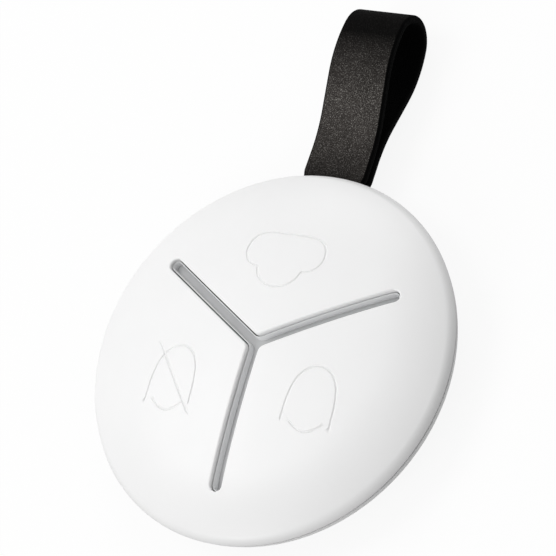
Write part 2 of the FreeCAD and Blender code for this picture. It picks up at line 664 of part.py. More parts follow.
def strap_way():
    """The hollow for the strap in the rear cover: round its eye, and out through the wall."""
    place, height = BAR_PLACE, size("strap_height")
    eye = STRAP_EYE + size("mouth_eye_gap")
    half_mouth = HALF_ROOT + size("mouth_top_gap")
    outside = size("disc_radius") + size("rear_wall")
    meet = place + math.sqrt(eye**2 - half_mouth**2)
    profile = [Part.ArcOfCircle(ring(place, height, eye), math.pi, 2 * math.pi - math.asin(half_mouth / eye))]
    profile += lines(
        [
            (meet, height - half_mouth),
            (outside, height - half_mouth),
            (outside, ABOVE),
            (place - eye, ABOVE),
            (place - eye, height),
        ]
    )
    return bar_prism("strap_way", profile, 2 * HALF_MOUTH)


def rear_cutters():
    """What is cut from the rear cover: screw ways, pilots, boss sockets, lug notches and the strap's way."""
    parts = [strap_way()]
    place = COVER_SCREW_CIRCLE
    for azimuth in SLOT_AZIMUTHS:
        head = "sizes.cover_screw_head + sizes.clear_gap"
        parts.append(rod("head_way", head, "sizes.cover_screw_seat", (place, 0, 0), azimuth))
        shank = "sizes.cover_screw_radius + sizes.clear_gap"
        parts.append(rod("shank_way", shank, "sizes.cover_boss_foot", (place, 0, 0), azimuth))
        socket = "sizes.cover_boss_radius + sizes.clear_gap"
        foot = (place, 0, size("cover_boss_foot"))
        parts.append(rod("boss_socket", socket, "sizes.guide_foot", foot, azimuth))
    pilot_foot = size("board_height") - size("board_screw_length") - size("clear_gap")
    for azimuth in BOARD_SCREW_AZIMUTHS:
        pilot = "sizes.board_screw_radius + sizes.screw_gap"
        tall = "sizes.board_screw_length + 2 * sizes.clear_gap"
        parts.append(rod("board_pilot", pilot, tall, (BOARD_SCREW_CIRCLE, 0, pilot_foot), azimuth))
    bar_way = size("bar_radius") + size("bar_seat_gap")
    reach = HALF_MOUTH + size("bar_seat") + size("bar_seat_gap")
    foot = (-reach, BAR_PLACE, size("strap_height"))
    parts.append(rod("bar_way", bar_way, 2 * reach, foot, 0, OVER_X))
    corner = (-reach, BAR_PLACE - bar_way, size("strap_height"))
    parts.append(block("bar_drop", (2 * reach, 2 * bar_way, "sizes.rear_depth"), corner))
    notch_out = size("door_lug_reach") + size("door_gap")
    half_notch = size("door_lug_angle") / 2 + size("door_angle_gap")
    for azimuth in KEY_AZIMUTHS.values():
        middle = azimuth - size("door_turn")
        plan = ring_sector(size("door_neck_radius"), notch_out, middle - half_notch, middle + half_notch)
        parts.append(prism("lug_notch", plan, DOOR_TOP, "sizes.door_neck_rise"))
    return joined("rear_cutters", parts)


def make_rear_cover():
    """The rear cover."""
    blank = joined("rear_blank", [rear_shell(), rear_fittings()])
    finish(cut("rear_cover_cut", blank, rear_cutters()), "rear_cover")


def coin_slot():
    """The coin slot of the door, a straight slot with round ends."""
    half = size("coin_slot_width") / 2
    centre = size("coin_slot_length") / 2 - half
    quarter = math.pi / 2
    plan = lines([(-centre, half), (centre, half)]) + lines([(-centre, -half), (centre, -half)])
    plan.append(Part.ArcOfCircle(ring(centre, 0, half), -quarter, quarter))
    plan.append(Part.ArcOfCircle(ring(-centre, 0, half), quarter, 3 * quarter))
    return prism("coin_slot", plan, 0, "sizes.door_sunk + sizes.coin_slot_depth")


def make_battery_door():
    """The round door with its cell cup, three lugs and coin slot, and the O-ring on its step."""
    neck, cup = size("door_neck_radius"), size("door_cup_radius")
    step = size("door_radius") - size("seal_seat")
    step_z = DOOR_TOP - 2 * size("seal_radius") + size("ledge_gap")
    profile = outline(
        [
            (0, size("door_sunk")),
            (size("door_radius"), size("door_sunk")),
            (size("door_radius"), step_z),
            (step, step_z),
            (step, DOOR_TOP),
            (neck, DOOR_TOP),
            (neck, NECK_TOP),
            (cup, NECK_TOP),
            (cup, DOOR_TOP),
            (0, DOOR_TOP),
        ]
    )
    parts = [turned("door_plate", profile)]
    half_lug = size("door_lug_angle") / 2
    for azimuth in KEY_AZIMUTHS.values():
        plan = ring_sector((neck + cup) / 2, size("door_lug_reach"), azimuth - half_lug, azimuth + half_lug)
        foot = NECK_TOP - size("door_lug_height")
        parts.append(prism("door_lug", plan, foot, "sizes.door_lug_height"))
    finish(cut("battery_door_cut", joined("door_blank", parts), coin_slot()), "battery_door")

    seal = doc.addObject("Part::Torus", "seal_ring")
    seal.setExpression("Radius1", f"{step} + sizes.seal_radius")
    seal.setExpression("Radius2", "sizes.seal_radius")
    seal.Placement = Placement(Vector(0, 0, step_z + size("seal_radius")), Rotation())
    finish(seal, "door_seal")


def make_coin_cell():
    """The coin cell, cap upward."""
    radius, cap, rise = size("cell_radius"), size("cell_cap_radius"), size("cell_cap_rise")
    profile = [Part.ArcOfCircle(ring(radius - rise, CELL_FOOT + rise, rise), -math.pi / 2, 0)]
    profile += lines(
        [
            (radius, CELL_FOOT + rise),
            (radius, CELL_TOP - rise),
            (cap + rise, CELL_TOP - rise),
            (cap, CELL_TOP),
            (0, CELL_TOP),
            (0, CELL_FOOT),
            (radius - rise, CELL_FOOT),
        ]
    )
    finish(turned("cell_solid", profile), "coin_cell")


def make_board():
    """The circuit board with its screw holes."""
    foot = size("board_height")
    plate = rod("board_plate", BOARD_RADIUS, "sizes.board_thickness", (0, 0, foot))
    way = "sizes.board_screw_radius + sizes.clear_gap"
    place = (BOARD_SCREW_CIRCLE, 0, foot)
    thick = "sizes.board_thickness"
    holes = [rod("board_hole", way, thick, place, azimuth) for azimuth in BOARD_SCREW_AZIMUTHS]
    finish(cut("board_cut", plate, joined("board_holes", holes)), "circuit_board")


def make_switches():
    """Three tact switches on the board, and the button of each."""
    half, place, travel = size("switch_side") / 2, size("switch_circle"), size("button_travel")
    sides = ("sizes.switch_side", "sizes.switch_side", "sizes.switch_height")
    bodies, bores = [], []
    for name, azimuth in KEY_AZIMUTHS.items():
        bodies.append(block("switch_case", sides, (place - half, -half, BOARD_TOP), azimuth))
        bore = "sizes.button_radius + sizes.button_gap"
        foot = (place, 0, SWITCH_TOP - 3 * travel)
        bores.append(rod("switch_bore", bore, "3 * sizes.button_travel", foot, azimuth))
        foot = (place, 0, SWITCH_TOP - travel)
        rise = "sizes.button_rise + sizes.button_travel"
        finish(rod("button_solid", "sizes.button_radius", rise, foot, azimuth), "switch_button_" + name)
    cases = cut("switch_cases", joined("switch_blanks", bodies), joined("switch_bores", bores))
    finish(cases, "switch_bodies")


def screw_group(label, kind, place, azimuths, head_foot, tip):
    """Like screws with cross recesses, as one group; the shank points from the head to the tip."""
    head, head_height = size(kind + "_head"), size(kind + "_head_height")
    upward = tip > head_foot
    shank_foot = head_foot + head_height if upward else tip
    shank_length = tip - shank_foot if upward else head_foot - tip
    depth = head_height / 2
    recess_foot = head_foot if upward else head_foot + head_height - depth
    slim = size("cross_recess_width") / 2
    parts, recesses = [], []
    for azimuth in azimuths:
        foot = (place, 0, head_foot)
        parts.append(rod("screw_head", f"sizes.{kind}_head", f"sizes.{kind}_head_height", foot, azimuth))
        foot = (place, 0, shank_foot)
        parts.append(rod("screw_shank", f"sizes.{kind}_radius", shank_length, foot, azimuth))
        corner = (place - head / 2, -slim, recess_foot)
        recesses.append(block("recess_bar", (head, "sizes.cross_recess_width", depth), corner, azimuth))
        corner = (place - slim, -head / 2, recess_foot)
        recesses.append(block("recess_cross", ("sizes.cross_recess_width", head, depth), corner, azimuth))
    blanks = joined(label + "_blanks", parts)
    finish(cut(label + "_cut", blanks, joined(label + "_recesses", recesses)), label)


def make_screws():
    """The cover screws, driven from the back, and the board screws, driven from the front."""
    head_foot = size("cover_screw_seat") - size("cover_screw_head_height")
    tip = size("cover_boss_foot") + size("cover_screw_bite")
    screw_group("cover_screws", "cover_screw", COVER_SCREW_CIRCLE, SLOT_AZIMUTHS, head_foot, tip)
    tip = size("board_height") - size("board_screw_length")
    screw_group("board_screws", "board_screw", BOARD_SCREW_CIRCLE, BOARD_SCREW_AZIMUTHS, BOARD_TOP, tip)


def make_contacts():
    """Contact springs of the battery: a leaf on the cell's cap and three clips at its side."""
    thick, board = size("contact_thickness"), size("board_height")
    low = CELL_TOP + size("contact_gap")
    reach, flat = size("leaf_reach"), size("leaf_pad")
    bend = reach - size("leaf_foot")
    leaf = [
        (-reach, board - thick),
        (-bend, board - thick),
        (-flat, low),
        (flat, low),
        (flat, low + thick),
        (-flat, low + thick),
        (-bend, board),
        (-reach, board),
    ]
    finish(bar_prism("leaf_solid", outline(leaf), "sizes.contact_width"), "battery_contact_negative")

    side = size("cell_radius") + size("contact_gap")
    half = size("contact_width") / 2
    foot = NECK_TOP + 2 * size("clear_gap")
    wall = ("sizes.contact_thickness", "sizes.contact_width", board - foot)
    pad_length = size("well_radius") - side - 2 * size("clear_gap")
    pad = (pad_length, "sizes.contact_width", "sizes.contact_thickness")
    parts = []
    for azimuth in SLOT_AZIMUTHS:
        parts.append(block("clip_wall", wall, (side, -half, foot), azimuth))
        parts.append(block("clip_pad", pad, (side, -half, board - thick), azimuth))
    finish(joined("clip_group", parts), "battery_contact_positive")


def under_board(label, azimuth, length, width, height):
    """A boxed part soldered under the board, of three named sizes."""
    corner = (WELL_OUTER + size("part_gap"), -size(width) / 2, size("board_height") - size(height))
    sides = (f"sizes.{length}", f"sizes.{width}", f"sizes.{height}")
    finish(block(label + "_case", sides, corner, azimuth), label)


def make_board_parts():
    """Radio shield, controller, crystal, light sources and the smallest parts."""
    under_board("radio_shield", SHIELD_AZIMUTH, "shield_length", "shield_width", "shield_height")
    under_board("controller_chip", CHIP_AZIMUTH, "chip_side", "chip_side", "chip_height")
    under_board("crystal", CRYSTAL_AZIMUTH, "crystal_length", "crystal_width", "crystal_height")
    sides = ("sizes.led_length", "sizes.led_width", "sizes.led_height")
    lights = []
    for azimuth in SLOT_AZIMUTHS:
        for circle in (size("led_inner_circle"), size("led_outer_circle")):
            corner = (circle - size("led_length") / 2, -size("led_width") / 2, BOARD_TOP)
            lights.append(block("light", sides, corner, azimuth))
    finish(joined("light_group", lights), "status_leds")
    length, height = size("small_part_length"), size("small_part_height")
    sides = ("sizes.small_part_length", "sizes.small_part_length / 2", "sizes.small_part_height")
    corner = (BOARD_SCREW_CIRCLE - length / 2, -length / 4, size("board_height") - height)
    chips = [block("small_part", sides, corner, azimuth) for azimuth in SMALL_PART_AZIMUTHS]
    finish(joined("chip_group", chips), "board_components")


def make_antenna():
    """The wire antenna: an arc over the board's edge on two legs."""
    bend, rise, sweep = BOARD_RADIUS - size("antenna_margin"), size("antenna_rise"), size("antenna_angle")
    arc = doc.addObject("Part::Torus", "antenna_arc")
    arc.setExpression("Radius1", str(bend))
    arc.setExpression("Radius2", "sizes.antenna_wire")
    arc.setExpression("Angle3", "sizes.antenna_angle")
    arc.Placement = Placement(Vector(0, 0, BOARD_TOP + rise), spun(ANTENNA_AZIMUTH))
    parts = [arc]
    for azimuth in (ANTENNA_AZIMUTH, ANTENNA_AZIMUTH + sweep):
        parts.append(rod("antenna_leg", "sizes.antenna_wire", rise, (bend, 0, BOARD_TOP), azimuth))
        knee = doc.addObject("Part::Sphere", "antenna_knee")
        knee.setExpression("Radius", "sizes.antenna_wire")
        knee.Placement = Placement(polar(bend, azimuth, BOARD_TOP + rise), spun(azimuth))
        parts.append(knee)
    finish(joined("antenna_wire", parts), "antenna")


def strap_side(distance):
    """Turning points of one strand at a distance outside its middle line, above the strap's middle plane."""
    flare, belly, cap = size("strap_flare_radius"), size("strap_belly_radius"), size("strap_cap_radius")
    slope, past = math.radians(size("strap_flare_angle")), math.radians(size("strap_belly_angle"))
    start_z = (size("strap_thickness") + size("strap_strand_gap")) / 2
    peak_z = belly * (1 - math.cos(past)) + cap * math.cos(past)
    straight = (peak_z - start_z - (flare + belly) * (1 - math.cos(slope))) / math.sin(slope)
    cap_y = size("strap_reach") - size("strap_thickness") / 2 - cap
    peak_y = cap_y + (cap - belly) * math.sin(past)
    start_y = peak_y - (flare + belly) * math.sin(slope) - straight * math.cos(slope)

    def on_flare(angle):
        near = flare - distance
        return Vector(start_y + near * math.sin(angle), start_z + flare - near * math.cos(angle), 0)

    def on_belly(angle):
        far = belly + distance
        return Vector(peak_y + far * math.sin(angle), peak_z - belly + far * math.cos(angle), 0)

    return {
        "flare": [on_flare(0), on_flare(slope / 2), on_flare(slope)],
        "belly": [on_belly(-slope), on_belly(0), on_belly(past)],
        "end": Vector(cap_y + cap + distance, 0, 0),
        "start": start_y,
    }


def loop_outline(distance, start_y):
    """The loop's line at a distance outside the strap's middle line, from start_y round and back."""
    side = strap_side(distance)
    height = size("strap_height")
    geometry, ends = [], []
    for sign in (1, -1):
        flare = [Vector(p.x, height + sign * p.y, 0) for p in side["flare"]]
        belly = [Vector(p.x, height + sign * p.y, 0) for p in side["belly"]]
        geometry.append(Part.LineSegment(Vector(start_y, flare[0].y, 0), flare[0]))
        geometry.append(Part.Arc(*flare))
        geometry.append(Part.LineSegment(flare[2], belly[0]))
        geometry.append(Part.Arc(*belly))
        ends.append(belly[2])
    geometry.append(Part.Arc(ends[0], Vector(side["end"].x, height, 0), ends[1]))
    return geometry


def make_strap():
    """The strap, one closed band round its bar and bonded flat to itself where it leaves, and the bar."""
    half_thick = size("strap_thickness") / 2
    place, height = BAR_PLACE, size("strap_height")
    meet = place + math.sqrt(STRAP_EYE**2 - HALF_ROOT**2)
    lean = math.asin(HALF_ROOT / STRAP_EYE)
    geometry = loop_outline(half_thick, meet)
    geometry.append(Part.ArcOfCircle(ring(place, height, STRAP_EYE), lean, 2 * math.pi - lean))
    slit = strap_side(0)["start"] - size("strap_slit")
    half_gap = size("strap_strand_gap") / 2
    geometry += loop_outline(-half_thick, slit)
    geometry += lines([(slit, height - half_gap), (slit, height + half_gap)])
    geometry.append(ring(place, height, size("bar_radius") + size("bar_gap")))
    finish(bar_prism("strap_band", geometry, "sizes.strap_width"), "strap")

    half_bar = HALF_MOUTH + size("bar_seat")
    foot = (-half_bar, place, height)
    finish(rod("bar_solid", "sizes.bar_radius", 2 * half_bar, foot, 0, OVER_X), "strap_bar")


def write_parts():
    """Check every object and every finished sub-part, then write one file for each."""
    doc.recompute()
    for obj in doc.Objects:
        if "Invalid" in obj.State or "Error" in obj.State:
            raise RuntimeError(f"{obj.Label} failed: {obj.State}")
    os.makedirs("parts", exist_ok=True)
    for label, obj in finished.items():
        shape = obj.Shape
        if shape.isNull() or not shape.isValid():
            raise RuntimeError(f"{label} has no valid shape")
        print(f"{label}: {len(shape.Solids)} solids, {shape.Volume:.1f} mm3")
    for label, obj in finished.items():
        obj.Shape.exportStep(f"parts/{label}.step")


make_front_cover()
make_keys()
make_light_guide()
make_rear_cover()
make_battery_door()
make_coin_cell()
make_board()
make_switches()
make_screws()
make_contacts()
make_board_parts()
make_antenna()
make_strap()
write_parts()
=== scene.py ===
"""Dresses the round alarm key fob: domed front, engraved keys, light strip and leather strap loop.

Frame: metres, +Z out of the front, +Y towards the strap, origin at the centre of the flat back.
Sizes in the classes are in millimetres, as on a drawing, and MM turns them into metres.
"""

import logging
import math
from collections.abc import Callable
from dataclasses import dataclass
from enum import Enum

import bpy
import numpy as np
from mathutils import Matrix, Vector
from mathutils.geometry import delaunay_2d_cdt

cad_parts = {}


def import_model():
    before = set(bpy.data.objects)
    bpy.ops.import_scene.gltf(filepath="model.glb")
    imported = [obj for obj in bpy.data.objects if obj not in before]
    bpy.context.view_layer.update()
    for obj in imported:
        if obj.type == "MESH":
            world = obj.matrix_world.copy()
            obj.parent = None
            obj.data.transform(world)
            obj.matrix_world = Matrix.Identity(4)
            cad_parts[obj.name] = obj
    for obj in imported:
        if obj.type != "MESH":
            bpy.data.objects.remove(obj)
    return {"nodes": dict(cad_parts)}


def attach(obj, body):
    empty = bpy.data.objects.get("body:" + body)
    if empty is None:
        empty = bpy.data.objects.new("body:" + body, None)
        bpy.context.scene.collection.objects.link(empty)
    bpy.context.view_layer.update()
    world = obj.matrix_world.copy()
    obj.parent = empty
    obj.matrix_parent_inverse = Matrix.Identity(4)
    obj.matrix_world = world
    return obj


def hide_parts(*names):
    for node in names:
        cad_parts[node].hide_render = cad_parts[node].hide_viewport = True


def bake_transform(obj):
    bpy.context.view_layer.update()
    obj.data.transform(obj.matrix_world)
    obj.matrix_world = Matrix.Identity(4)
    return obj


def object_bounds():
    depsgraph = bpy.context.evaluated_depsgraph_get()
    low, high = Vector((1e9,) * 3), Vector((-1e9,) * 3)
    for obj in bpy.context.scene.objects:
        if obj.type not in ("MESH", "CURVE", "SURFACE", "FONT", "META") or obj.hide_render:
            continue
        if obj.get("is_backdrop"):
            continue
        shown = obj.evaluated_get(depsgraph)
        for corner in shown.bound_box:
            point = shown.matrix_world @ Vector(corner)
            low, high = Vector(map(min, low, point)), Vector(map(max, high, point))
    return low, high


MM = 0.001
LOG = logging.getLogger("alarm_key_fob")

Array = np.ndarray
Piece = bpy.types.Object
Colour = tuple[float, float, float]
Point = tuple[float, float]
Place = tuple[float, float, float]
Socket = bpy.types.NodeSocket
Sockets = bpy.types.bpy_prop_collection
Values = dict[str | int, object]

# The mix node's two colours and its result, whose names its other data types have too
MIX_FIRST, MIX_SECOND, MIX_RESULT = 6, 7, 2
# Where the slot's upper ray points in the plane of a front third, and what mirrors that plane
RAY = np.array([0.5, math.sin(math.pi / 3)])
FLIP = np.array([1.0, -1.0])


def rgba(value: object) -> object:
    """A colour with full alpha, or a socket as it is."""
    return value if isinstance(value, Socket) else (*value, 1.0)


class Graph:
    """Adds nodes to one node tree and links them with short calls."""

    def __init__(self, tree: bpy.types.NodeTree) -> None:
        """Keeps the tree."""
        self.tree = tree

    def fill(self, node: bpy.types.Node, values: Values) -> None:
        """Sets or links a node's inputs.

        Args:
            node: the node.
            values: a value or a linked socket for each named or numbered input.
        """
        for key, value in values.items():
            if isinstance(value, Socket):
                self.tree.links.new(value, node.inputs[key])
            else:
                node.inputs[key].default_value = value

    def node(self, kind: str, values: Values | None = None, **settings: object) -> bpy.types.Node:
        """Adds one node.

        Args:
            kind: the node's type, such as ShaderNodeMath.
            values: what its inputs get.
            settings: the node's own properties.

        Returns:
            The new node.
        """
        made = self.tree.nodes.new(kind)
        for key, value in settings.items():
            setattr(made, key, value)
        self.fill(made, values or {})
        return made

    def coordinates(self) -> Socket:
        """The object's own coordinates."""
        return self.node("ShaderNodeTexCoord").outputs["Object"]

    def noise(self, place: Socket, scale: object, detail: float) -> Socket:
        """A noise texture's value, from 0 to 1; its scale is in features per metre."""
        values = {"Vector": place, "Scale": scale, "Detail": detail}
        return self.node("ShaderNodeTexNoise", values).outputs["Fac"]

    def span(self, value: Socket, source: Point, target: Point = (0.0, 1.0)) -> Socket:
        """Maps a value from one range to another, and holds it at the ends."""
        ends = dict(zip(("From Min", "From Max", "To Min", "To Max"), (*source, *target)))
        return self.node("ShaderNodeMapRange", {"Value": value, **ends}).outputs["Result"]

    def maths(self, operation: str, first: object, second: object = 0.0) -> Socket:
        """One operation, such as MULTIPLY, on two values or sockets."""
        return self.node("ShaderNodeMath", {0: first, 1: second}, operation=operation).outputs[0]

    def mix(self, share: object, first: object, second: object) -> Socket:
        """Mixes two colours or sockets by the share of the second."""
        values = {0: share, MIX_FIRST: rgba(first), MIX_SECOND: rgba(second)}
        return self.node("ShaderNodeMix", values, data_type="RGBA").outputs[MIX_RESULT]

    def seen(self) -> Socket:
        """Tells the rays that show a surface as it is from those that light the object.

        Returns:
            1 for the first and 0 for the others.
        """
        path = self.node("ShaderNodeLightPath").outputs
        shown = self.maths("MAXIMUM", path["Is Camera Ray"], path["Is Glossy Ray"])
        return self.maths("MAXIMUM", shown, path["Is Transmission Ray"])


class Effect(Enum):
    """Surface effects that several finishes share, with the usual values of their inputs."""

    MOULDED = {"Grain Scale": 5200.0, "Waviness": 1.5, "Wave Scale": 160.0, "Tone Scale": 90.0}
    HANDLED = {"Smear Scale": 130.0, "Rub Scale": 260.0, "Wear": 1.0}
    BRUSHED = {"Line Scale": 420.0, "Stretch": 22.0, "Stain Scale": 300.0}
    GRAIN = {"Cell Scale": 3100.0, "Speckle Scale": 6400.0, "Broad Scale": 1100.0, "Tone Scale": 210.0}


class EffectGraph(Graph):
    """One effect's node group, which the method with the effect's name wires."""

    def __init__(self, effect: Effect) -> None:
        """Makes the group, with its inputs and outputs named in its interface.

        Args:
            effect: which effect.
        """
        super().__init__(bpy.data.node_groups.new(effect.name, "ShaderNodeTree"))
        for name, value in effect.value.items():
            self.socket(name, "INPUT").default_value = value
        self.given = self.node("NodeGroupInput").outputs
        self.place = self.coordinates()
        outputs = getattr(self, effect.name.lower())()
        for name in outputs:
            self.socket(name, "OUTPUT")
        self.node("NodeGroupOutput", outputs)

    def socket(self, name: str, side: str) -> bpy.types.NodeTreeInterfaceSocket:
        """Adds a value to one side of the group's interface."""
        return self.tree.interface.new_socket(name=name, in_out=side, socket_type="NodeSocketFloat")

    def clouds(self, scale: str, detail: float) -> Socket:
        """Noise over the object, at the scale that a named input gives."""
        return self.noise(self.place, self.given[scale], detail)

    def moulded(self) -> dict[str, Socket]:
        """Eroded mould texture: a fine even grain over a faint slow waviness.

        Returns:
            Height and Tone.
        """
        fine, slow = self.clouds("Grain Scale", 3.0), self.clouds("Wave Scale", 1.0)
        height = self.maths("ADD", fine, self.maths("MULTIPLY", slow, self.given["Waviness"]))
        return {"Height": height, "Tone": self.span(self.clouds("Tone Scale", 4.0), (0.35, 0.65))}

    def handled(self) -> dict[str, Socket]:
        """Marks of handling: cloudy smears and short hairline rubs.

        Returns:
            Smear and Rub.
        """
        smear = self.span(self.clouds("Smear Scale", 5.0), (0.4, 0.75))
        slant = {"Vector": self.place, "Rotation": (0.3, 0.2, 0.7), "Scale": (1.0, 14.0, 3.0)}
        stretched = self.node("ShaderNodeMapping", slant).outputs[0]
        rub = self.span(self.noise(stretched, self.given["Rub Scale"], 4.0), (0.66, 0.78))
        marks = {"Smear": smear, "Rub": rub}
        return {name: self.maths("MULTIPLY", mark, self.given["Wear"]) for name, mark in marks.items()}

    def brushed(self) -> dict[str, Socket]:
        """Fine parallel lines of drawn or brushed metal, with slow stains.

        Returns:
            Height and Stain.
        """
        ways = {0: 1.0, 1: self.given["Stretch"], 2: self.given["Stretch"]}
        stretch = {"Vector": self.place, "Scale": self.node("ShaderNodeCombineXYZ", ways).outputs[0]}
        stretched = self.node("ShaderNodeMapping", stretch).outputs[0]
        lines = self.noise(stretched, self.given["Line Scale"], 5.0)
        return {"Height": lines, "Stain": self.span(self.clouds("Stain Scale", 3.0), (0.3, 0.7))}

    def grain(self) -> dict[str, Socket]:
        """Fine leather grain: small cells with creases between them, a speckle and slow shades.

        Returns:
            Height, Speckle, Crease and Tone.
        """
        values = {"Vector": self.place, "Scale": self.given["Cell Scale"]}
        cells = self.node("ShaderNodeTexVoronoi", values, feature="DISTANCE_TO_EDGE")
        crease = self.span(cells.outputs["Distance"], (0.0, 0.22), (1.0, 0.0))
        broad = self.maths("MULTIPLY", self.clouds("Broad Scale", 4.0), 1.2)
        return {
            "Height": self.maths("SUBTRACT", broad, crease),
            "Speckle": self.span(self.clouds("Speckle Scale", 4.0), (0.52, 0.66)),
            "Crease": crease,
            "Tone": self.span(self.clouds("Tone Scale", 3.0), (0.3, 0.7)),
        }


class Surface(Graph):
    """A material's graph, which ends in its Principled shader."""

    def __init__(self, tree: bpy.types.NodeTree) -> None:
        """Keeps the tree and its shader."""
        super().__init__(tree)
        self.shader = tree.nodes["Principled BSDF"]

    def effect(self, effect: Effect, values: Values | None = None) -> Sockets:
        """Adds one shared effect, with this material's own values.

        Args:
            effect: which effect.
            values: what its inputs get in place of their usual values.

        Returns:
            The effect's outputs by name.
        """
        made = self.node("ShaderNodeGroup")
        made.node_tree = bpy.data.node_groups.get(effect.name) or EffectGraph(effect).tree
        self.fill(made, values or {})
        return made.outputs

    def coat(self, colour: Socket, roughness: Socket, height: Socket, depth: float) -> None:
        """Feeds the shader.

        Args:
            colour: its colour.
            roughness: its roughness.
            height: what bumps it.
            depth: how deep the bump is, in millimetres.
        """
        values = {"Height": height, "Strength": 1.0, "Distance": depth * MM}
        normal = self.node("ShaderNodeBump", values).outputs["Normal"]
        self.fill(self.shader, {"Base Color": colour, "Roughness": roughness, "Normal": normal})


@dataclass(frozen=True)
class Finish:
    """A material's name and main values; each kind of finish wires its own effects."""

    name: str
    colour: Colour
    roughness: float = 0.5
    metallic: float = 0.0

    def make(self) -> bpy.types.Material:
        """Makes the material, or finds it where it is made already.

        Returns:
            The material.
        """
        label = f"{self.name}_finish"
        found = bpy.data.materials.get(label)
        if found:
            return found
        made = bpy.data.materials.new(label)
        made.use_nodes = True
        made.diffuse_color = (*self.colour, 1.0)
        surface = Surface(made.node_tree)
        surface.fill(surface.shader, {"Metallic": self.metallic})
        self.wire(surface)
        return made

    def wire(self, surface: Surface) -> None:
        """Wires the effects to the surface; the kinds below say how."""
        raise NotImplementedError

    def shaded(self, factor: float) -> Colour:
        """The colour times a factor, up to white."""
        return tuple(min(value * factor, 1.0) for value in self.colour)

    def rough(self, surface: Surface, marks: Socket, change: float, most: float = 1.0) -> Socket:
        """The roughness, which marks change by up to the given amount where they are strongest."""
        return surface.span(marks, (0.0, most), (self.roughness, self.roughness + change))


@dataclass(frozen=True)
class Plastic(Finish):
    """Moulded plastic with an eroded texture and faint handling marks."""

    grain: float = 0.004
    tint: float = 0.03
    rub_share: float = 0.6
    polish: float = 0.08
    glow: float = 0.0
    glow_depth: float = 0.8

    def wire(self, surface: Surface) -> None:
        """Wires the moulded texture and the handling marks.

        Args:
            surface: the material's graph.
        """
        moulded, handled = surface.effect(Effect.MOULDED), surface.effect(Effect.HANDLED)
        colour = surface.mix(moulded["Tone"], self.colour, self.shaded(1.0 - self.tint))
        rubs = surface.maths("MULTIPLY", handled["Rub"], self.rub_share)
        marks = surface.maths("ADD", handled["Smear"], rubs)
        rough = self.rough(surface, marks, -self.polish, 1.0 + self.rub_share)
        surface.coat(colour, rough, moulded["Height"], self.grain)
        if self.glow:
            depth = {"Subsurface Radius": (1.0, 1.0, 1.0), "Subsurface Scale": self.glow_depth * MM}
            surface.fill(surface.shader, {"Subsurface Weight": self.glow, **depth})


@dataclass(frozen=True)
class Metal(Finish):
    """Drawn, plated or brushed metal with fine lines and slow stains."""

    metallic: float = 1.0
    depth: float = 0.002
    stain_shade: float = 0.82
    smear_matt: float = 0.12

    def wire(self, surface: Surface) -> None:
        """Wires the brushed lines and the smears.

        Args:
            surface: the material's graph.
        """
        brushed, handled = surface.effect(Effect.BRUSHED), surface.effect(Effect.HANDLED)
        colour = surface.mix(brushed["Stain"], self.colour, self.shaded(self.stain_shade))
        rough = self.rough(surface, handled["Smear"], self.smear_matt)
        surface.coat(colour, rough, brushed["Height"], self.depth)


@dataclass(frozen=True)
class Lacquer(Finish):
    """A circuit board's lacquer: glossy, with the glass weave showing through."""

    weave_scale: float = 330.0
    weave_waver: float = 0.6
    weave_gain: float = 1.5
    weave_depth: float = 0.004
    smear_scale: float = 90.0
    smear_matt: float = 0.15

    def wire(self, surface: Surface) -> None:
        """Wires the weave and the smears.

        Args:
            surface: the material's graph.
        """
        place = surface.coordinates()
        quarter = {"Vector": place, "Rotation": (0.0, 0.0, math.pi / 2)}
        turned = surface.node("ShaderNodeMapping", quarter).outputs[0]
        values = {"Scale": self.weave_scale, "Distortion": self.weave_waver}
        across, along = (
            surface.node("ShaderNodeTexWave", {"Vector": way, **values}).outputs["Fac"]
            for way in (place, turned)
        )
        weave = surface.maths("MULTIPLY", across, along)
        colour = surface.mix(weave, self.colour, self.shaded(self.weave_gain))
        smear = surface.effect(Effect.HANDLED, {"Smear Scale": self.smear_scale})["Smear"]
        surface.coat(colour, self.rough(surface, smear, self.smear_matt), weave, self.weave_depth)


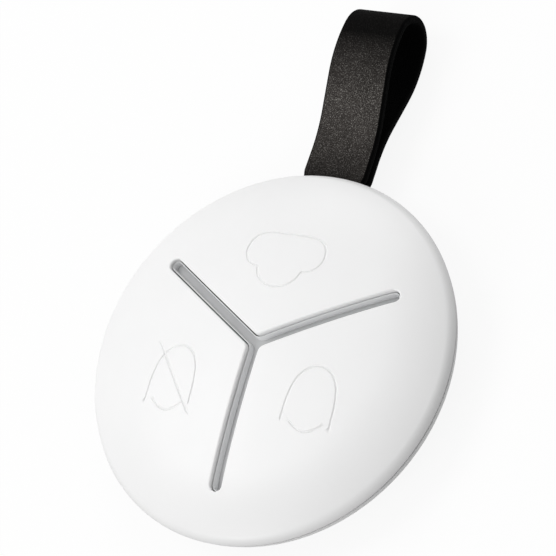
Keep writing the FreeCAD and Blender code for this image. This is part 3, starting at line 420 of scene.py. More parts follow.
@dataclass(frozen=True)
class Leather(Finish):
    """A leather band: a speckled grain on its outer face, a black lining and painted edges.

    The band map runs along the band in U and round its section in V. The face is painted darker towards
    the bend and towards the root as painted shade, which leaves the middle between them lighter like a
    painted highlight; the bend and the root are given as places along the strap in metres.
    """

    # the light speckle is partly the grain's own flecks and partly painted glints of its sheen
    speckle: Colour = (0.33, 0.315, 0.295)
    edge: Colour = (0.0014, 0.0014, 0.0014)
    face_middle: float = 0.234
    face_half: Point = (0.085, 0.11)
    # painted shade: where the face darkens towards the top bend and towards the root, in metres along
    # the strap
    bend: Point = (0.0425, 0.0530)
    root: Point = (0.0305, 0.0415)
    bend_shade_strength: float = 0.96
    root_shade_strength: float = 0.65
    shade: float = 0.7
    speckle_share: float = 0.8
    crease_shade_strength: float = 0.5
    speckle_polish: float = 0.1
    sheen: float = 0.02
    depth: float = 0.03

    def wire(self, surface: Surface) -> None:
        """Wires the grain, paints the edges and the lining, and paints shade on the face at the bend
        and the root.

        Args:
            surface: the material's graph.
        """
        grain = surface.effect(Effect.GRAIN)
        face = surface.mix(grain["Tone"], self.colour, self.shaded(self.shade))
        # painted glints: the light speckle stands partly for glints of the grain's sheen
        specks_and_glints = surface.maths("MULTIPLY", grain["Speckle"], self.speckle_share)
        # painted shade: the grain's creases are darkened towards the edge black
        crease_shade = surface.maths("MULTIPLY", grain["Crease"], self.crease_shade_strength)
        face = surface.mix(crease_shade, surface.mix(specks_and_glints, face, self.speckle), self.edge)
        along = surface.node("ShaderNodeSeparateXYZ", {0: surface.coordinates()}).outputs["Y"]
        # painted shade along the strap: the face is mixed towards the edge black at the top bend, which
        # faces away from the lamps, and at the root
        bend_shade = surface.span(along, self.bend, (0.0, self.bend_shade_strength))
        root_shade = surface.span(along, self.root, (self.root_shade_strength, 0.0))
        face = surface.mix(surface.maths("MAXIMUM", bend_shade, root_shade), face, self.edge)
        band = surface.node("ShaderNodeUVMap", uv_map="band").outputs[0]
        round_band = surface.node("ShaderNodeSeparateXYZ", {0: band}).outputs["Y"]
        off = surface.maths("ABSOLUTE", surface.maths("SUBTRACT", round_band, self.face_middle))
        colour = surface.mix(surface.span(off, self.face_half), face, self.edge)
        rough = self.rough(surface, grain["Speckle"], -self.speckle_polish)
        surface.coat(colour, rough, grain["Height"], self.depth)
        surface.fill(surface.shader, {"Specular IOR Level": self.sheen})


WHITE = Plastic("white_plastic", (0.91, 0.91, 0.91), 0.42, grain=0.003, tint=0.012)
DIFFUSER = Plastic("diffuser", (0.50, 0.505, 0.51), 0.38, grain=0.004, tint=0.05)
LIP = Plastic("diffuser_lip", (0.82, 0.825, 0.83), 0.45, grain=0.003, tint=0.03)
BLACK = Plastic("black_plastic", (0.025, 0.025, 0.026), 0.45, grain=0.006, tint=0.2)
RUBBER = Plastic("black_rubber", (0.018, 0.018, 0.018), 0.7, grain=0.008, tint=0.25)
CERAMIC = Plastic("component_ceramic", (0.42, 0.33, 0.24), 0.5, grain=0.005, tint=0.2)
LED = Plastic("led_body", (0.85, 0.82, 0.66), 0.35, grain=0.003, tint=0.1, glow=0.3)
BOARD = Lacquer("board", (0.02, 0.15, 0.06), 0.28)
CELL = Metal("cell_steel", (0.62, 0.62, 0.61), 0.26)
SCREW = Metal("screw_steel", (0.50, 0.50, 0.51), 0.3)
SHIELD = Metal("shield_metal", (0.66, 0.66, 0.65), 0.34)
BRASS = Metal("contact_metal", (0.80, 0.62, 0.30), 0.3)
LEATHER = Leather("strap_leather", (0.068, 0.061, 0.056), 0.8)

FINISH_NODES: dict[Finish, tuple[str, ...]] = {
    WHITE: ("front_cover", "key_top", "key_left", "key_right", "rear_cover", "battery_door"),
    DIFFUSER: ("light_guide",),
    RUBBER: ("door_seal",),
    CELL: ("coin_cell",),
    BOARD: ("circuit_board",),
    BLACK: (
        "switch_bodies", "switch_button_top", "switch_button_left", "switch_button_right",
        "controller_chip",
    ),
    SCREW: ("cover_screws", "board_screws", "strap_bar"),
    BRASS: ("battery_contact_negative", "battery_contact_positive", "antenna"),
    SHIELD: ("radio_shield", "crystal"),
    LED: ("status_leds",),
    CERAMIC: ("board_components",),
    LEATHER: ("strap",),
}


def dress(piece: Piece, finish: Finish) -> None:
    """Gives a piece one material."""
    piece.data.materials.clear()
    piece.data.materials.append(finish.make())


def add_object(name: str, data: bpy.types.ID) -> Piece:
    """Adds one object to the scene.

    Args:
        name: its name.
        data: its mesh, lamp or camera.

    Returns:
        The object.
    """
    made = bpy.data.objects.new(name, data)
    bpy.context.scene.collection.objects.link(made)
    return made


def add_piece(name: str, vertices: Array, faces: list[tuple[int, ...]]) -> Piece:
    """Adds one smooth-shaded piece.

    Args:
        name: its name.
        vertices: one row for each, in metres.
        faces: the numbers of each face's vertices.

    Returns:
        The object.
    """
    mesh = bpy.data.meshes.new(name)
    mesh.from_pydata([tuple(row) for row in vertices], [], faces)
    mesh.polygons.foreach_set("use_smooth", [True] * len(mesh.polygons))
    mesh.update()
    return add_object(name, mesh)


def tube_faces(rings: int, around: int) -> list[tuple[int, int, int, int]]:
    """Faces of a tube that closes on itself both ways.

    Args:
        rings: how many rings of vertices it has.
        around: how many vertices a ring has.

    Returns:
        The numbers of each face's vertices, ring after ring.
    """
    faces = []
    for ring in range(rings):
        near, far = ring * around, (ring + 1) % rings * around
        for i in range(around):
            after = (i + 1) % around
            faces.append((near + i, near + after, far + after, far + i))
    return faces


def lengths(rows: Array) -> Array:
    """The length of each row."""
    return np.linalg.norm(rows, axis=1)


def units(rows: Array) -> Array:
    """Each row at a length of one."""
    return rows / np.maximum(lengths(rows), 1e-9)[:, None]


def way_between(value: float, start: float, end: float) -> float:
    """How far a value is on the way from start to end, from 0 to 1."""
    return min(max((value - start) / (end - start), 0.0), 1.0)


def smooth_line(points: list[Point], step: float) -> Array:
    """Runs a smooth line through the points of one stroke.

    Args:
        points: the points that it passes, in millimetres.
        step: the distance between the samples.

    Returns:
        The samples, one row for each.
    """
    rows = [np.array(point) for point in points]
    rows = [2 * rows[0] - rows[1], *rows, 2 * rows[-1] - rows[-2]]
    samples = []
    for a, b, c, d in zip(rows, rows[1:], rows[2:], rows[3:]):
        count = max(2, math.ceil(float(np.linalg.norm(c - b)) / step))
        t = np.linspace(0.0, 1.0, count, endpoint=False)[:, None]
        square, cube = 2 * a - 5 * b + 4 * c - d, 3 * b - 3 * c + d - a
        samples.append(0.5 * (2 * b + (c - a) * t + square * t**2 + cube * t**3))
    samples.append(np.array([points[-1]], float))
    return np.vstack(samples)


class Symbol(Enum):
    """Symbols engraved on the keys."""

    CLOUD = "cloud"
    BELL = "bell"
    BELL_OFF = "crossed-out bell"


@dataclass
class Engraving:
    """A symbol cut into a key as a thin groove; the method with its name has its strokes."""

    symbol: Symbol
    centre: Point
    width: float = 0.46
    depth: float = 0.2
    step: float = 0.22
    row_shares: tuple[float, ...] = (0.4, 0.75, 1.0, 1.3)
    floor_share: float = 0.15
    wall_share: float = 0.35
    clear_share: float = 0.9

    def strokes(self) -> list[Array]:
        """The symbol's strokes, as one array of samples in millimetres for each."""
        lines = getattr(self, self.symbol.name.lower())()
        return [smooth_line(line, self.step) + np.array(self.centre) for line in lines]

    def cloud(self) -> list[list[Point]]:
        """A cloud whose flat edge faces the rim: two lobes at its ends and one below.

        Returns:
            The points of each stroke.
        """
        neck, low = (-3.9, -1.6), [(-3.2, -3.1), (-1.8, -4.2), (0.0, -4.6)]
        end = [(-5.5, -1.1), (-6.5, 0.1), (-6.7, 1.6), (-6.0, 3.2), (-4.5, 4.1), (-2.0, 4.3)]
        return [self.both_sides([neck, *line]) for line in (end, low)]

    def bell(self) -> list[list[Point]]:
        """A bell: its body, open at the foot, and the sweep of its clapper below."""
        body = [(-4.05, -3.8), (-4.0, -2.8), (-3.9, -0.4), (-3.3, 2.4), (-1.9, 4.3), (0.0, 5.0)]
        return [self.both_sides(body), self.both_sides([(-2.6, -3.95), (-1.4, -4.8), (0.0, -5.25)])]

    def bell_off(self) -> list[list[Point]]:
        """The bell with a slash across it."""
        return [*self.bell(), [(-4.2, 5.0), (0.0, -0.1), (4.2, -5.2)]]

    def both_sides(self, half: list[Point]) -> list[Point]:
        """A stroke from its left half, whose point on the middle line, if it has one, is the last."""
        return half + [(-x, y) for x, y in reversed(half) if x]

    def rows(self) -> list[float]:
        """Offsets from a stroke at which the mesh has rows of points."""
        half = self.width / 2
        return [0.0, *(side * half * share for share in self.row_shares for side in (1, -1))]

    def cut(self, places: Array) -> Array:
        """How deep the groove is.

        Args:
            places: rows of two coordinates in the plane of the disc.

        Returns:
            One depth for each.
        """
        near = np.full(len(places), np.inf)
        for line in self.strokes():
            run = line[1:] - line[:-1]
            off = places[:, None] - line[:-1]
            t = np.clip((off * run).sum(axis=2) / (run**2).sum(axis=1), 0.0, 1.0)
            gap = np.linalg.norm(off - t[:, :, None] * run, axis=2)
            near = np.minimum(near, gap.min(axis=1))
        floor, wall = self.width * self.floor_share, self.width * self.wall_share
        t = np.clip((near - floor) / wall, 0.0, 1.0)
        return self.depth * (1.0 - t * t * (3.0 - 2.0 * t))


@dataclass
class FrontThird:
    """A third of the domed front: one key and the rim beyond it, with its engraved symbol.

    The plan is drawn with the key along local +X and then turned to the key's azimuth.
    """

    key: str
    azimuth: float
    engraving: Engraving
    disc_radius: float = 30.0
    dome_height: float = 7.0
    crown_angle: float = 10.0
    shoulder_angle: float = 32.0
    rim_round: float = 2.2
    parting: float = 5.5
    reveal: float = 0.35
    reveal_depth: float = 0.7
    slot_half: float = 1.0
    slot_end: float = 22.1
    corner: float = 1.2
    edge_round: float = 0.3
    edge_angles: tuple[int, ...] = (25, 50, 70, 90)
    edge_row: float = 0.7
    wall: float = 1.5
    skirt_wall: float = 1.1
    skirt_depth: float = 2.6
    mouth_half: float = 5.35
    mouth_roof: float = 5.8
    grid: float = 0.85
    lattice_reach: float = 24.0
    arc_steps: int = 91
    corner_steps: int = 5
    ray_steps: int = 30
    cap_steps: int = 10
    rim_step: float = 4.0
    shoulder_step: float = 1.6
    crown_margin: float = 2.0
    seam_angle: float = 59.4
    seam_gap: float = 0.2
    skirt_gap: float = 0.25
    ring_gap: float = 0.3
    rim_gap: float = 0.02
    wall_reach: float = 0.004
    wall_part: float = 0.98
    top_part: float = 0.2
    skirt_margin: float = 0.05
    thinnest: float = 0.02
    slot_reach: float = 0.02
    rim_reach: float = 0.01
    blend_low: float = 9.95
    blend_high: float = 11.6

    def turned(self, points: Array, back: bool = False) -> Array:
        """Turns local points to the disc's frame, or back to the local one.

        Args:
            points: rows of two coordinates.
            back: whether to turn them back.

        Returns:
            The turned points.
        """
        angle = math.radians(-self.azimuth if back else self.azimuth)
        c, s = math.cos(angle), math.sin(angle)
        return points @ np.array([[c, s], [-s, c]])

    def profile(self) -> list[tuple[float, float, float, float]]:
        """The dome's profile: three arcs that run smoothly into each other.

        Returns:
            For the crown, the shoulder and the rim: the arc's centre out from the axis and above the
            parting plane, its radius and its last slope.
        """
        first, second = math.radians(self.crown_angle), math.radians(self.shoulder_angle)
        across = self.disc_radius - self.rim_round * (1.0 - math.sin(second))
        up = self.dome_height - self.rim_round * math.cos(second)
        sine, cosine = math.sin(second) - math.sin(first), math.cos(first) - math.cos(second)
        share = math.sin(first) * cosine - sine * (1.0 - math.cos(first))
        crown = (across * cosine - up * sine) / share
        shoulder = (math.sin(first) * up - (1.0 - math.cos(first)) * across) / share
        middle = self.dome_height - crown
        out = (crown - shoulder) * math.sin(first)
        return [
            (0.0, middle, crown, first),
            (out, middle + (crown - shoulder) * math.cos(first), shoulder, second),
            (self.disc_radius - self.rim_round, 0.0, self.rim_round, math.pi / 2),
        ]

    def dome(self, radius: Array) -> tuple[Array, Array]:
        """Height of the plain dome at each radius, and how far its normal leans out.

        Args:
            radius: distances from the axis.

        Returns:
            The heights and the slopes in radians.
        """
        height, slope = np.zeros(radius.shape), np.zeros(radius.shape)
        before = -1.0
        for out, up, bend, last in self.profile():
            end = out + bend * math.sin(last)
            here = (radius > before) & (radius <= end + 1e-6)
            lean = np.arcsin(np.clip((radius - out) / bend, -1.0, 1.0))
            height = np.where(here, self.parting + up + bend * np.cos(lean), height)
            slope = np.where(here, lean, slope)
            before = end + 1e-6
        return height, slope

    def edge_distance(self, points: Array) -> Array:
        """Distance of local points from the edge of the slot, positive on the key.

        Args:
            points: local points.

        Returns:
            One distance for each.
        """
        best = np.full(len(points), np.inf)
        for sign in (1, -1):
            ray = RAY * (1.0, sign)
            along = np.clip(points @ ray, 0.0, self.slot_end)
            best = np.minimum(best, lengths(points - along[:, None] * ray) - self.slot_half)
        off = points - np.array([self.corner_middle(), 0.0])
        reach = lengths(off)
        in_corner = -off[:, 0] > reach * math.cos(math.pi / 6)
        return np.where(in_corner, self.corner - reach, best)

    def corner_middle(self) -> float:
        """How far out the key's rounded inner corner has its centre."""
        return (self.slot_half + self.corner) / RAY[1]

    def slot_line(self, off: float) -> Array:
        """A line beside the slot's edge, from one end of the slot round the corner to the other.

        Args:
            off: its distance from the edge, positive on the key.

        Returns:
            Local points.
        """
        half, turn = self.slot_half + off, self.corner - off
        bend = np.radians(np.linspace(150.0, 180.0, self.corner_steps))
        corner = [(self.corner_middle() + turn * math.cos(a), turn * math.sin(a)) for a in bend]
        runs = np.linspace(self.slot_end, float(np.dot(corner[0], RAY)), self.ray_steps)[:-1]
        side = [tuple(s * RAY + half * np.array([RAY[1], -RAY[0]])) for s in runs]
        end, bend = self.slot_end * RAY, np.radians(np.linspace(60.0, -30.0, self.cap_steps))[:-1]
        cap = [(end[0] + half * math.cos(a), end[1] + half * math.sin(a)) for a in bend]
        upper = np.array([*cap, *side, *corner])
        return np.vstack([upper, upper[::-1][1:] * FLIP])

    def rings(self) -> list[float]:
        """Radii of the mesh's rings.

        Returns:
            The radii from the rim in, close together where the profile bends most.
        """
        _, shoulder, rim = self.profile()
        bends = (
            (rim, self.shoulder_angle, self.rim_step),
            (shoulder, self.crown_angle + self.crown_margin, self.shoulder_step),
        )
        found = []
        for (out, _, bend, last), start, step in bends:
            first = math.radians(start)
            count = math.ceil(math.degrees(last - first) / step)
            found += [out + bend * math.sin(a) for a in np.linspace(last, first, count, endpoint=False)]
        return [r for r in found if r > self.slot_end]

    def arc_points(self, start: float, end: float) -> Array:
        """Points of a unit arc between two angles in degrees, without its ends."""
        angles = np.radians(np.linspace(start, end, self.arc_steps))[1:-1]
        return np.column_stack([np.cos(angles), np.sin(angles)])

    def free_points(self) -> Array:
        """Points that no edge holds: on the rings near the rim, and on a lattice further in.

        Returns:
            Local points, clear of the slot, the seams, the rim and the engraving.
        """
        rings = self.rings()
        reach = int(self.lattice_reach / self.grid)
        lattice = np.array([
            ((i + 0.5 * (j % 2)) * self.grid, j * self.grid * RAY[1])
            for i in range(reach + 1) for j in range(-reach, reach + 1)
        ])
        lattice = lattice[lengths(lattice) < rings[-1] - self.ring_gap]
        free = np.vstack([*(r * self.arc_points(-60.0, 60.0) for r in rings[1:]), lattice])
        angle = np.abs(np.degrees(np.arctan2(free[:, 1], free[:, 0])))
        keep = (self.edge_distance(free) > self.skirt_wall + self.skirt_gap) & (angle < self.seam_angle)
        keep &= lengths(free) < self.disc_radius - self.rim_gap
        clear = self.engraving.width * self.engraving.clear_share
        for line in self.engraving.strokes():
            gaps = free[:, None] - self.turned(line, back=True)
            keep &= np.linalg.norm(gaps, axis=2).min(axis=1) > clear
        return free[keep]

    def stroke_points(self) -> Array:
        """Rows of points along the engraving, which keep its groove crisp.

        Returns:
            Local points.
        """
        found = []
        for line in self.engraving.strokes():
            local = self.turned(line, back=True)
            run = np.gradient(local, axis=0)
            normal = units(np.column_stack([-run[:, 1], run[:, 0]]))
            found += [local + row * normal for row in self.engraving.rows()]
        return np.vstack(found)

    def plan(self) -> tuple[list[Vector], list[tuple[int, int]], int]:
        """Points and fixed edges of the plan.

        Returns:
            The points, the edges between them, and how many of the first points are the boundary.
        """
        tip = self.slot_end + self.slot_half
        rows = [self.edge_round * (1.0 - math.cos(math.radians(a))) for a in self.edge_angles]
        rows += [self.edge_row, self.skirt_wall]
        outer = {r for r in self.rings() if r > tip + self.skirt_wall + self.seam_gap}
        seam = np.array(sorted({tip + off for off in rows} | outer))[:, None] * RAY
        rim = self.disc_radius * self.arc_points(60.0, -60.0)
        boundary = np.vstack([self.slot_line(0.0)[::-1], seam, rim, seam[::-1] * FLIP])
        count = total = len(boundary)
        edges = [(i, (i + 1) % count) for i in range(count)]
        lines = [self.slot_line(off) for off in rows]
        for line in lines:
            edges += [(total + i, total + i + 1) for i in range(len(line) - 1)]
            total += len(line)
        points = np.vstack([boundary, *lines, self.free_points(), self.stroke_points()])
        return [Vector(p) for p in points], edges, count

    def lowering(self, local: Array) -> Array:
        """How far the slot's rounded edge and the engraving lie below the dome.

        Args:
            local: local points.

        Returns:
            One depth for each.
        """
        off = np.clip(self.edge_distance(local), 0.0, self.edge_round)
        round_off = self.edge_round - np.sqrt(off * (2.0 * self.edge_round - off))
        return round_off + self.engraving.cut(self.turned(local))

    def slope(self, measure: Callable[[Array], Array], local: Array) -> Array:
        """How steeply a measure rises over the plan.

        Args:
            measure: gives one value for each local point.
            local: local points.

        Returns:
            Rows of the rise across and up the disc, per millimetre.
        """
        step = 0.01
        ways = np.eye(2) * step
        rises = [(measure(local + way) - measure(local - way)) / (2 * step) for way in ways]
        return self.turned(np.column_stack(rises))

    def normals(self, local: Array) -> tuple[Array, Array]:
        """Exact normals in the disc's frame, with which the thirds meet without a visible seam.

        Args:
            local: local points.

        Returns:
            The normals of the top surface, and level ones that point into the slot.
        """
        radius = lengths(local)
        lean = self.dome(radius)[1]
        away = self.turned(local) / np.maximum(radius, 1e-6)[:, None]
        tops = np.column_stack([away * np.sin(lean)[:, None], np.cos(lean)])
        tops[:, :2] += tops[:, 2:] * self.slope(self.lowering, local)
        tops = units(tops)
        flat = units(-self.slope(self.edge_distance, local))
        walls = np.column_stack([flat, np.zeros(len(flat))])
        low = self.edge_distance(local) < self.wall_reach
        tops[low] = walls[low] * self.wall_part + tops[low] * self.top_part
        return units(tops), walls

    def bottom(self, local: Array) -> Array:
        """Height of the underside: a wall below the dome, deeper along the slot.

        It is cut back at the rim for the shadow line, and over the strap's mouth.

        Args:
            local: local points.

        Returns:
            The heights.
        """
        radius, world = lengths(local), self.turned(local)
        along_slot = self.edge_distance(local) < self.skirt_wall - self.skirt_margin
        deep = np.where(along_slot, self.skirt_depth, self.wall)
        low = np.maximum(self.dome(radius)[0] - deep, self.parting)
        at_rim = radius > self.disc_radius - self.reveal_depth
        low = np.where(at_rim, self.parting + self.reveal, low)
        in_mouth = (np.abs(world[:, 0]) < self.mouth_half) & (world[:, 1] > 0.0)
        return np.where(in_mouth, np.maximum(low, self.mouth_roof), low)

    def build(self) -> None:
        """Builds the third, which stands for the key and its share of the cover, as one closed mesh."""
        points, edges, count = self.plan()
        flat, _, triangles, *_ = delaunay_2d_cdt(points, edges, [], 1, 1e-4)
        local = np.array([tuple(p) for p in flat])
        lookup = {(round(p.x, 4), round(p.y, 4)): i for i, p in enumerate(flat)}
        loop = [lookup[(round(p.x, 4), round(p.y, 4))] for p in points[:count]]
        low = self.bottom(local)
        radius = lengths(local)
        top = np.maximum(self.dome(radius)[0] - self.lowering(local), low + self.thinnest)
        world, half = self.turned(local), len(local)
        vertices = np.vstack([np.column_stack([world, top]), np.column_stack([world, low])]) * MM
        faces, normals = [], []
        tops, walls = self.normals(local)
        for face in triangles:
            a, b, c = (Vector(vertices[i]) for i in face)
            ordered = list(face) if (b - a).cross(c - a).z > 0 else list(reversed(face))
            faces += [ordered, [i + half for i in reversed(ordered)]]
            normals += [*(tops[i] for i in ordered), *[(0.0, 0.0, -1.0)] * 3]
        for first, second in zip(loop, loop[1:] + loop[:1]):
            faces.append([first, second, second + half, first + half])
            middle = (local[first] + local[second]) / 2
            if self.edge_distance(middle[None, :])[0] < self.slot_reach:
                pair = (walls[first], walls[second])
            elif min(radius[first], radius[second]) > self.disc_radius - self.rim_reach:
                pair = (tops[first], tops[second])
            else:
                run = self.turned((local[second] - local[first])[None, :])[0]
                pair = (np.array([-run[1], run[0], 0.0]) / np.linalg.norm(run),) * 2
            normals += [pair[0], pair[1], pair[1], pair[0]]
        piece = add_piece(f"front_third_{self.key}", vertices, faces)
        piece.data.normals_split_custom_set([tuple(normal) for normal in normals])
        dress(piece, WHITE)
        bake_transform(piece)
        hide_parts(f"key_{self.key}", "front_cover")
        LOG.info("%s: %d faces, symbol %s", piece.name, len(faces), self.engraving.symbol.value)


@dataclass
class GuideLip:
    """The light guide's raised lip, which runs round the Y slot a little inside the keys' edges."""

    thirds: list[FrontThird]
    section: tuple[Point, ...] = (
        (-0.18, 1.9), (-0.18, 0.74), (-0.2, 0.7), (-0.25, 0.7),
        (-0.28, 0.76), (-0.34, 1.3), (-0.42, 1.9),
    )
    sharp_angle: float = 50.0

    def build(self) -> None:
        """Sweeps the section round the slot: offsets from the keys' edges and depths below the dome."""
        rows = []
        for off, depth in self.section:
            line = np.vstack([third.turned(third.slot_line(off)[::-1])[:-1] for third in self.thirds])
            rows.append(np.column_stack([line, self.thirds[0].dome(lengths(line))[0] - depth]))
        faces = tube_faces(len(rows), len(rows[0]))
        piece = add_piece("guide_lip", np.vstack(rows) * MM, faces)
        piece.data.set_sharp_from_angle(angle=math.radians(self.sharp_angle))
        dress(piece, LIP)
        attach(piece, "case")
        LOG.info("%s: %d faces", piece.name, len(faces))


@dataclass
class StrapLoop:
    """The leather strap: one band round its bar, whose two strands part into an open loop."""

    width: float = 10.0
    root_spread: float = 0.9
    root_lean: float = -0.3
    tip_spread: float = 0.15
    root_place: float = 31.0
    tip_place: float = 55.0
    mouth_place: float = 29.0
    thickness: float = 1.3
    height: float = 3.95
    reach: float = 58.3
    strand_gap: float = 0.2
    flare_angle: float = 18.0
    flare_radius: float = 22.0
    belly_radius: float = 16.0
    belly_angle: float = 12.0
    cap_radius: float = 4.1
    bar_place: float = 25.0
    bar_radius: float = 0.6
    bar_gap: float = 0.05
    edge_round: float = 0.38
    step: float = 0.45
    root_smoothing: int = 6
    root_reach: float = 1.2
    corner_points: int = 6

    def arc(self, centre: Point, radius: float, start: float, end: float) -> list[Point]:
        """Points of an arc in the plane of the loop.

        Args:
            centre: its centre.
            radius: its radius.
            start: its first angle in degrees.
            end: its last angle.

        Returns:
            The points, without the last.
        """
        count = max(3, math.ceil(radius * abs(math.radians(end - start)) / self.step))
        angles = np.radians(np.linspace(start, end, count, endpoint=False))
        return [(centre[0] + radius * math.cos(a), centre[1] + radius * math.sin(a)) for a in angles]

    def run(self, start: Point, end: Point) -> list[Point]:
        """Points of a straight run, without the last."""
        count = max(1, math.ceil(math.dist(start, end) / self.step))
        return [tuple(p) for p in np.linspace(start, end, count, endpoint=False)]

    def middle_line(self) -> Array:
        """The band's closed middle line: the upper strand, the loop, the lower strand and the bar.

        Returns:
            Rows of y and z above the strap's middle plane, in millimetres.
        """
        slope, past = math.radians(self.flare_angle), math.radians(self.belly_angle)
        rise, drop = 1 - math.cos(slope), 1 - math.cos(past)
        start_z = (self.thickness + self.strand_gap) / 2
        peak_z = self.belly_radius * drop + self.cap_radius * math.cos(past)
        bends = self.flare_radius + self.belly_radius
        straight = (peak_z - start_z - bends * rise) / math.sin(slope)
        cap_y = self.reach - self.thickness / 2 - self.cap_radius
        peak_y = cap_y + (self.cap_radius - self.belly_radius) * math.sin(past)
        start_y = peak_y - bends * math.sin(slope) - straight * math.cos(slope)
        eye = self.bar_radius + self.bar_gap + self.thickness / 2
        lean = math.asin(start_z / eye)
        root = (self.bar_place + eye * math.cos(lean), start_z)
        flare_middle = (start_y, start_z + self.flare_radius)
        flare = self.arc(flare_middle, self.flare_radius, -90.0, -90.0 + self.flare_angle)
        flare_end = (start_y + self.flare_radius * math.sin(slope), start_z + self.flare_radius * rise)
        end_angle = 90.0 - self.belly_angle
        belly_middle = (peak_y, peak_z - self.belly_radius)
        belly = self.arc(belly_middle, self.belly_radius, 90.0 + self.flare_angle, end_angle)
        upper = self.run(root, (start_y, start_z)) + flare + self.run(flare_end, belly[0]) + belly
        cap = self.arc((cap_y, 0.0), self.cap_radius, end_angle, -end_angle)
        lower = [(y, -z) for y, z in reversed(upper)]
        turn = math.degrees(lean)
        back = self.arc((self.bar_place, 0.0), eye, -turn, -360.0 + turn)[1:]
        line = np.array(upper + cap + lower + back)
        for _ in range(self.root_smoothing):
            mean = (np.roll(line, 1, axis=0) + np.roll(line, -1, axis=0)) / 2
            hidden = np.abs(line[:, 0] - root[0]) < self.root_reach
            line[hidden] = (line[hidden] + mean[hidden]) / 2
        return line

    def section(self) -> list[Point]:
        """The band's rounded section.

        Returns:
            Places across the band and through it.
        """
        turn = self.edge_round
        half, thick = self.width / 2 - turn, self.thickness / 2 - turn
        places = []
        for x, z, start in ((1, 1, 0.0), (-1, 1, 90.0), (-1, -1, 180.0), (1, -1, 270.0)):
            for a in np.radians(np.linspace(start, start + 90.0, self.corner_points)):
                places.append((x * half + turn * math.cos(a), z * thick + turn * math.sin(a)))
            if z * x > 0:
                face = z * self.thickness / 2
                places += [(-x * share * half, face) for share in (-0.6, -0.2, 0.2, 0.6)]
        return places

    def sideways(self, y: float) -> Point:
        """How the band lies across: it flattens out where it leaves the mouth, and leans there.

        Args:
            y: the place along the strap, in millimetres.

        Returns:
            The factor on its width, and how far it lies to one side of the disc's axis.
        """
        opened = way_between(y, self.mouth_place, self.root_place)
        along = way_between(y, self.root_place, self.tip_place)
        extra = self.root_spread + (self.tip_spread - self.root_spread) * along
        wider = 1.0 + opened * opened * (3.0 - 2.0 * opened) * extra / self.width
        return wider, self.root_lean * (1.0 - way_between(y, self.mouth_place, self.tip_place))

    def build(self) -> None:
        """Sweeps the section along the middle line and dresses it."""
        line, section = self.middle_line(), self.section()
        along = units(np.roll(line, -1, axis=0) - np.roll(line, 1, axis=0))
        out = np.column_stack([-along[:, 1], along[:, 0]])
        vertices = []
        for (y, z), (oy, oz) in zip(line, out):
            wider, lean = self.sideways(float(y))
            for across, through in section:
                up = self.height + z + through * oz
                vertices.append((across * wider + lean, y + through * oy, up))
        count, ring = len(line), len(section)
        faces = [(a, d, c, b) for a, b, c, d in tube_faces(count, ring)]
        quad = ((0, 0), (1, 0), (1, 1), (0, 1))
        places = [(i + a, j + b) for i in range(count) for j in range(ring) for a, b in quad]
        piece = add_piece("strap_loop", np.array(vertices) * MM, faces)
        band = piece.data.uv_layers.new(name="band")
        band.data.foreach_set("uv", [value for i, j in places for value in (i / count, j / ring)])
        dress(piece, LEATHER)
        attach(piece, "strap_band")
        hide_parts("strap")


@dataclass
class CadNodes:
    """The CAD nodes, which all keep their meshes and get their finishes."""

    nodes: dict[str, Piece]

    def build(self) -> None:
        """Dresses every node."""
        finishes = {name: finish for finish, names in FINISH_NODES.items() for name in names}
        for name, node in self.nodes.items():
            dress(node, finishes[name])
            LOG.info("%s: %s", name, finishes[name].name)


@dataclass(frozen=True)
class Lamp:
    """A large soft square light that faces the object; its place and side are in metres."""

    name: str
    place: Place
    power: float
    side: float = 0.5

    def build(self, target: Place) -> None:
        """Adds the light.

        Args:
            target: what it faces.
        """
        data = bpy.data.lights.new(self.name, "AREA")
        data.shape, data.size, data.energy = "SQUARE", self.side, self.power
        lamp = add_object(self.name, data)
        lamp.location = self.place
        lamp.rotation_mode = "QUATERNION"
        lamp.rotation_quaternion = (Vector(target) - Vector(self.place)).to_track_quat("-Z", "Y")


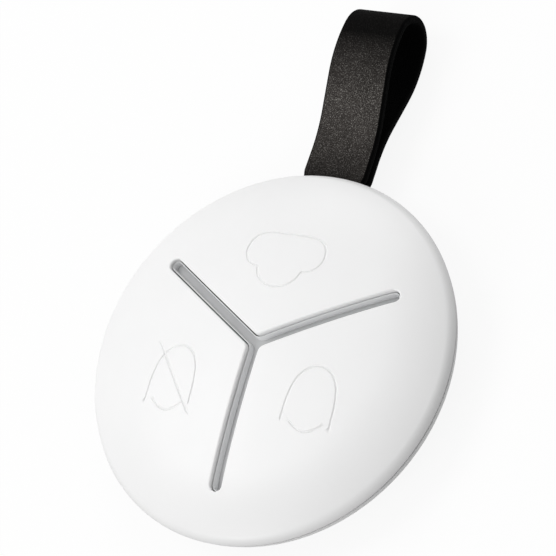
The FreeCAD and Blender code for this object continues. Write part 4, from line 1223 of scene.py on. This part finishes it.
@dataclass
class Studio:
    """A pale floor, soft light and the camera: places in metres, lens and sensor in millimetres."""

    eye: Place = (0.39215, -0.20338, 0.63435)
    target: Place = (-0.0011276, 0.0113704, 0.0098807)
    up: Place = (-0.13181, 0.91616, 0.37851)
    lens: float = 331.7
    sensor: float = 36.0
    clip: Point = (0.05, 20.0)
    floor_half: float = 3.0
    ambient: float = 0.49
    floor_white: float = 0.9
    floor_bounce: float = 0.32
    floor_seen: float = 0.95
    lamps: tuple[Lamp, ...] = (
        Lamp("side_light", (-0.5, 0.0, 0.866), 2.8),
        Lamp("back_light", (-0.224, 0.8365, 0.5), 2.45),
        Lamp("front_light", (-0.224, -0.8365, 0.5), 2.8),
    )

    def build(self, floor_height: float) -> None:
        """Builds the studio.

        Args:
            floor_height: where the floor lies, in metres.
        """
        self.camera()
        self.floor(floor_height)
        self.world()
        for lamp in self.lamps:
            lamp.build(self.target)
        bpy.context.scene.view_settings.view_transform = "Standard"
        LOG.info("studio: lens %.1f mm, floor at %.5f m", self.lens, floor_height)

    def camera(self) -> None:
        """Places the camera that the photograph was taken with."""
        data = bpy.data.cameras.new("camera")
        data.lens, data.sensor_width = self.lens, self.sensor
        data.clip_start, data.clip_end = self.clip
        camera = add_object("camera", data)
        back = (Vector(self.eye) - Vector(self.target)).normalized()
        right = Vector(self.up).cross(back).normalized()
        rows = Matrix((right, back.cross(right), back)).transposed()
        camera.matrix_world = Matrix.Translation(self.eye) @ rows.to_4x4()
        bpy.context.scene.camera = camera

    def floor(self, height: float) -> None:
        """Builds the pale floor.

        Args:
            height: where it lies, in metres.
        """
        sides = ((-1, -1), (1, -1), (1, 1), (-1, 1))
        places = np.array([(x * self.floor_half, y * self.floor_half, height) for x, y in sides])
        piece = add_piece("floor", places, [(0, 1, 2, 3)])
        material = bpy.data.materials.new("floor_paper")
        material.use_nodes = True
        material.node_tree.nodes.clear()
        graph = Graph(material.node_tree)
        seen = graph.seen()
        tone = graph.span(seen, (0.0, 1.0), (self.floor_bounce, self.floor_seen))
        paper = graph.node("ShaderNodeBsdfDiffuse", {"Color": tone}).outputs[0]
        white = graph.node("ShaderNodeEmission", {"Color": (1.0,) * 4, "Strength": 1.0}).outputs[0]
        share = graph.maths("MULTIPLY", seen, self.floor_white)
        mixed = graph.node("ShaderNodeMixShader", {0: share, 1: paper, 2: white}).outputs[0]
        graph.node("ShaderNodeOutputMaterial", {"Surface": mixed})
        piece.data.materials.append(material)
        piece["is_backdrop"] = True

    def world(self) -> None:
        """Lights the object softly from all round, with plain white behind it."""
        world = bpy.data.worlds.new("studio")
        world.use_nodes = True
        world.node_tree.nodes.clear()
        graph = Graph(world.node_tree)
        strength = graph.span(graph.seen(), (0.0, 1.0), (self.ambient, 1.0))
        sky = graph.node("ShaderNodeBackground", {"Color": (1.0,) * 4, "Strength": strength}).outputs[0]
        graph.node("ShaderNodeOutputWorld", {"Surface": sky})
        bpy.context.scene.world = world


def main() -> None:
    """Builds everything in order."""
    logging.basicConfig(level=logging.INFO, format="%(name)s %(message)s")
    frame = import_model()
    cad_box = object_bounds()
    CadNodes(frame["nodes"]).build()
    thirds = [
        FrontThird("top", 90.0, Engraving(Symbol.CLOUD, (-0.2, 13.8))),
        FrontThird("left", 210.0, Engraving(Symbol.BELL_OFF, (-12.15, -7.0))),
        FrontThird("right", 330.0, Engraving(Symbol.BELL, (12.05, -7.0))),
    ]
    for third in thirds:
        third.build()
    GuideLip(thirds).build()
    StrapLoop().build()
    Studio().build(cad_box[0].z)


if __name__ == "__main__":
    main()
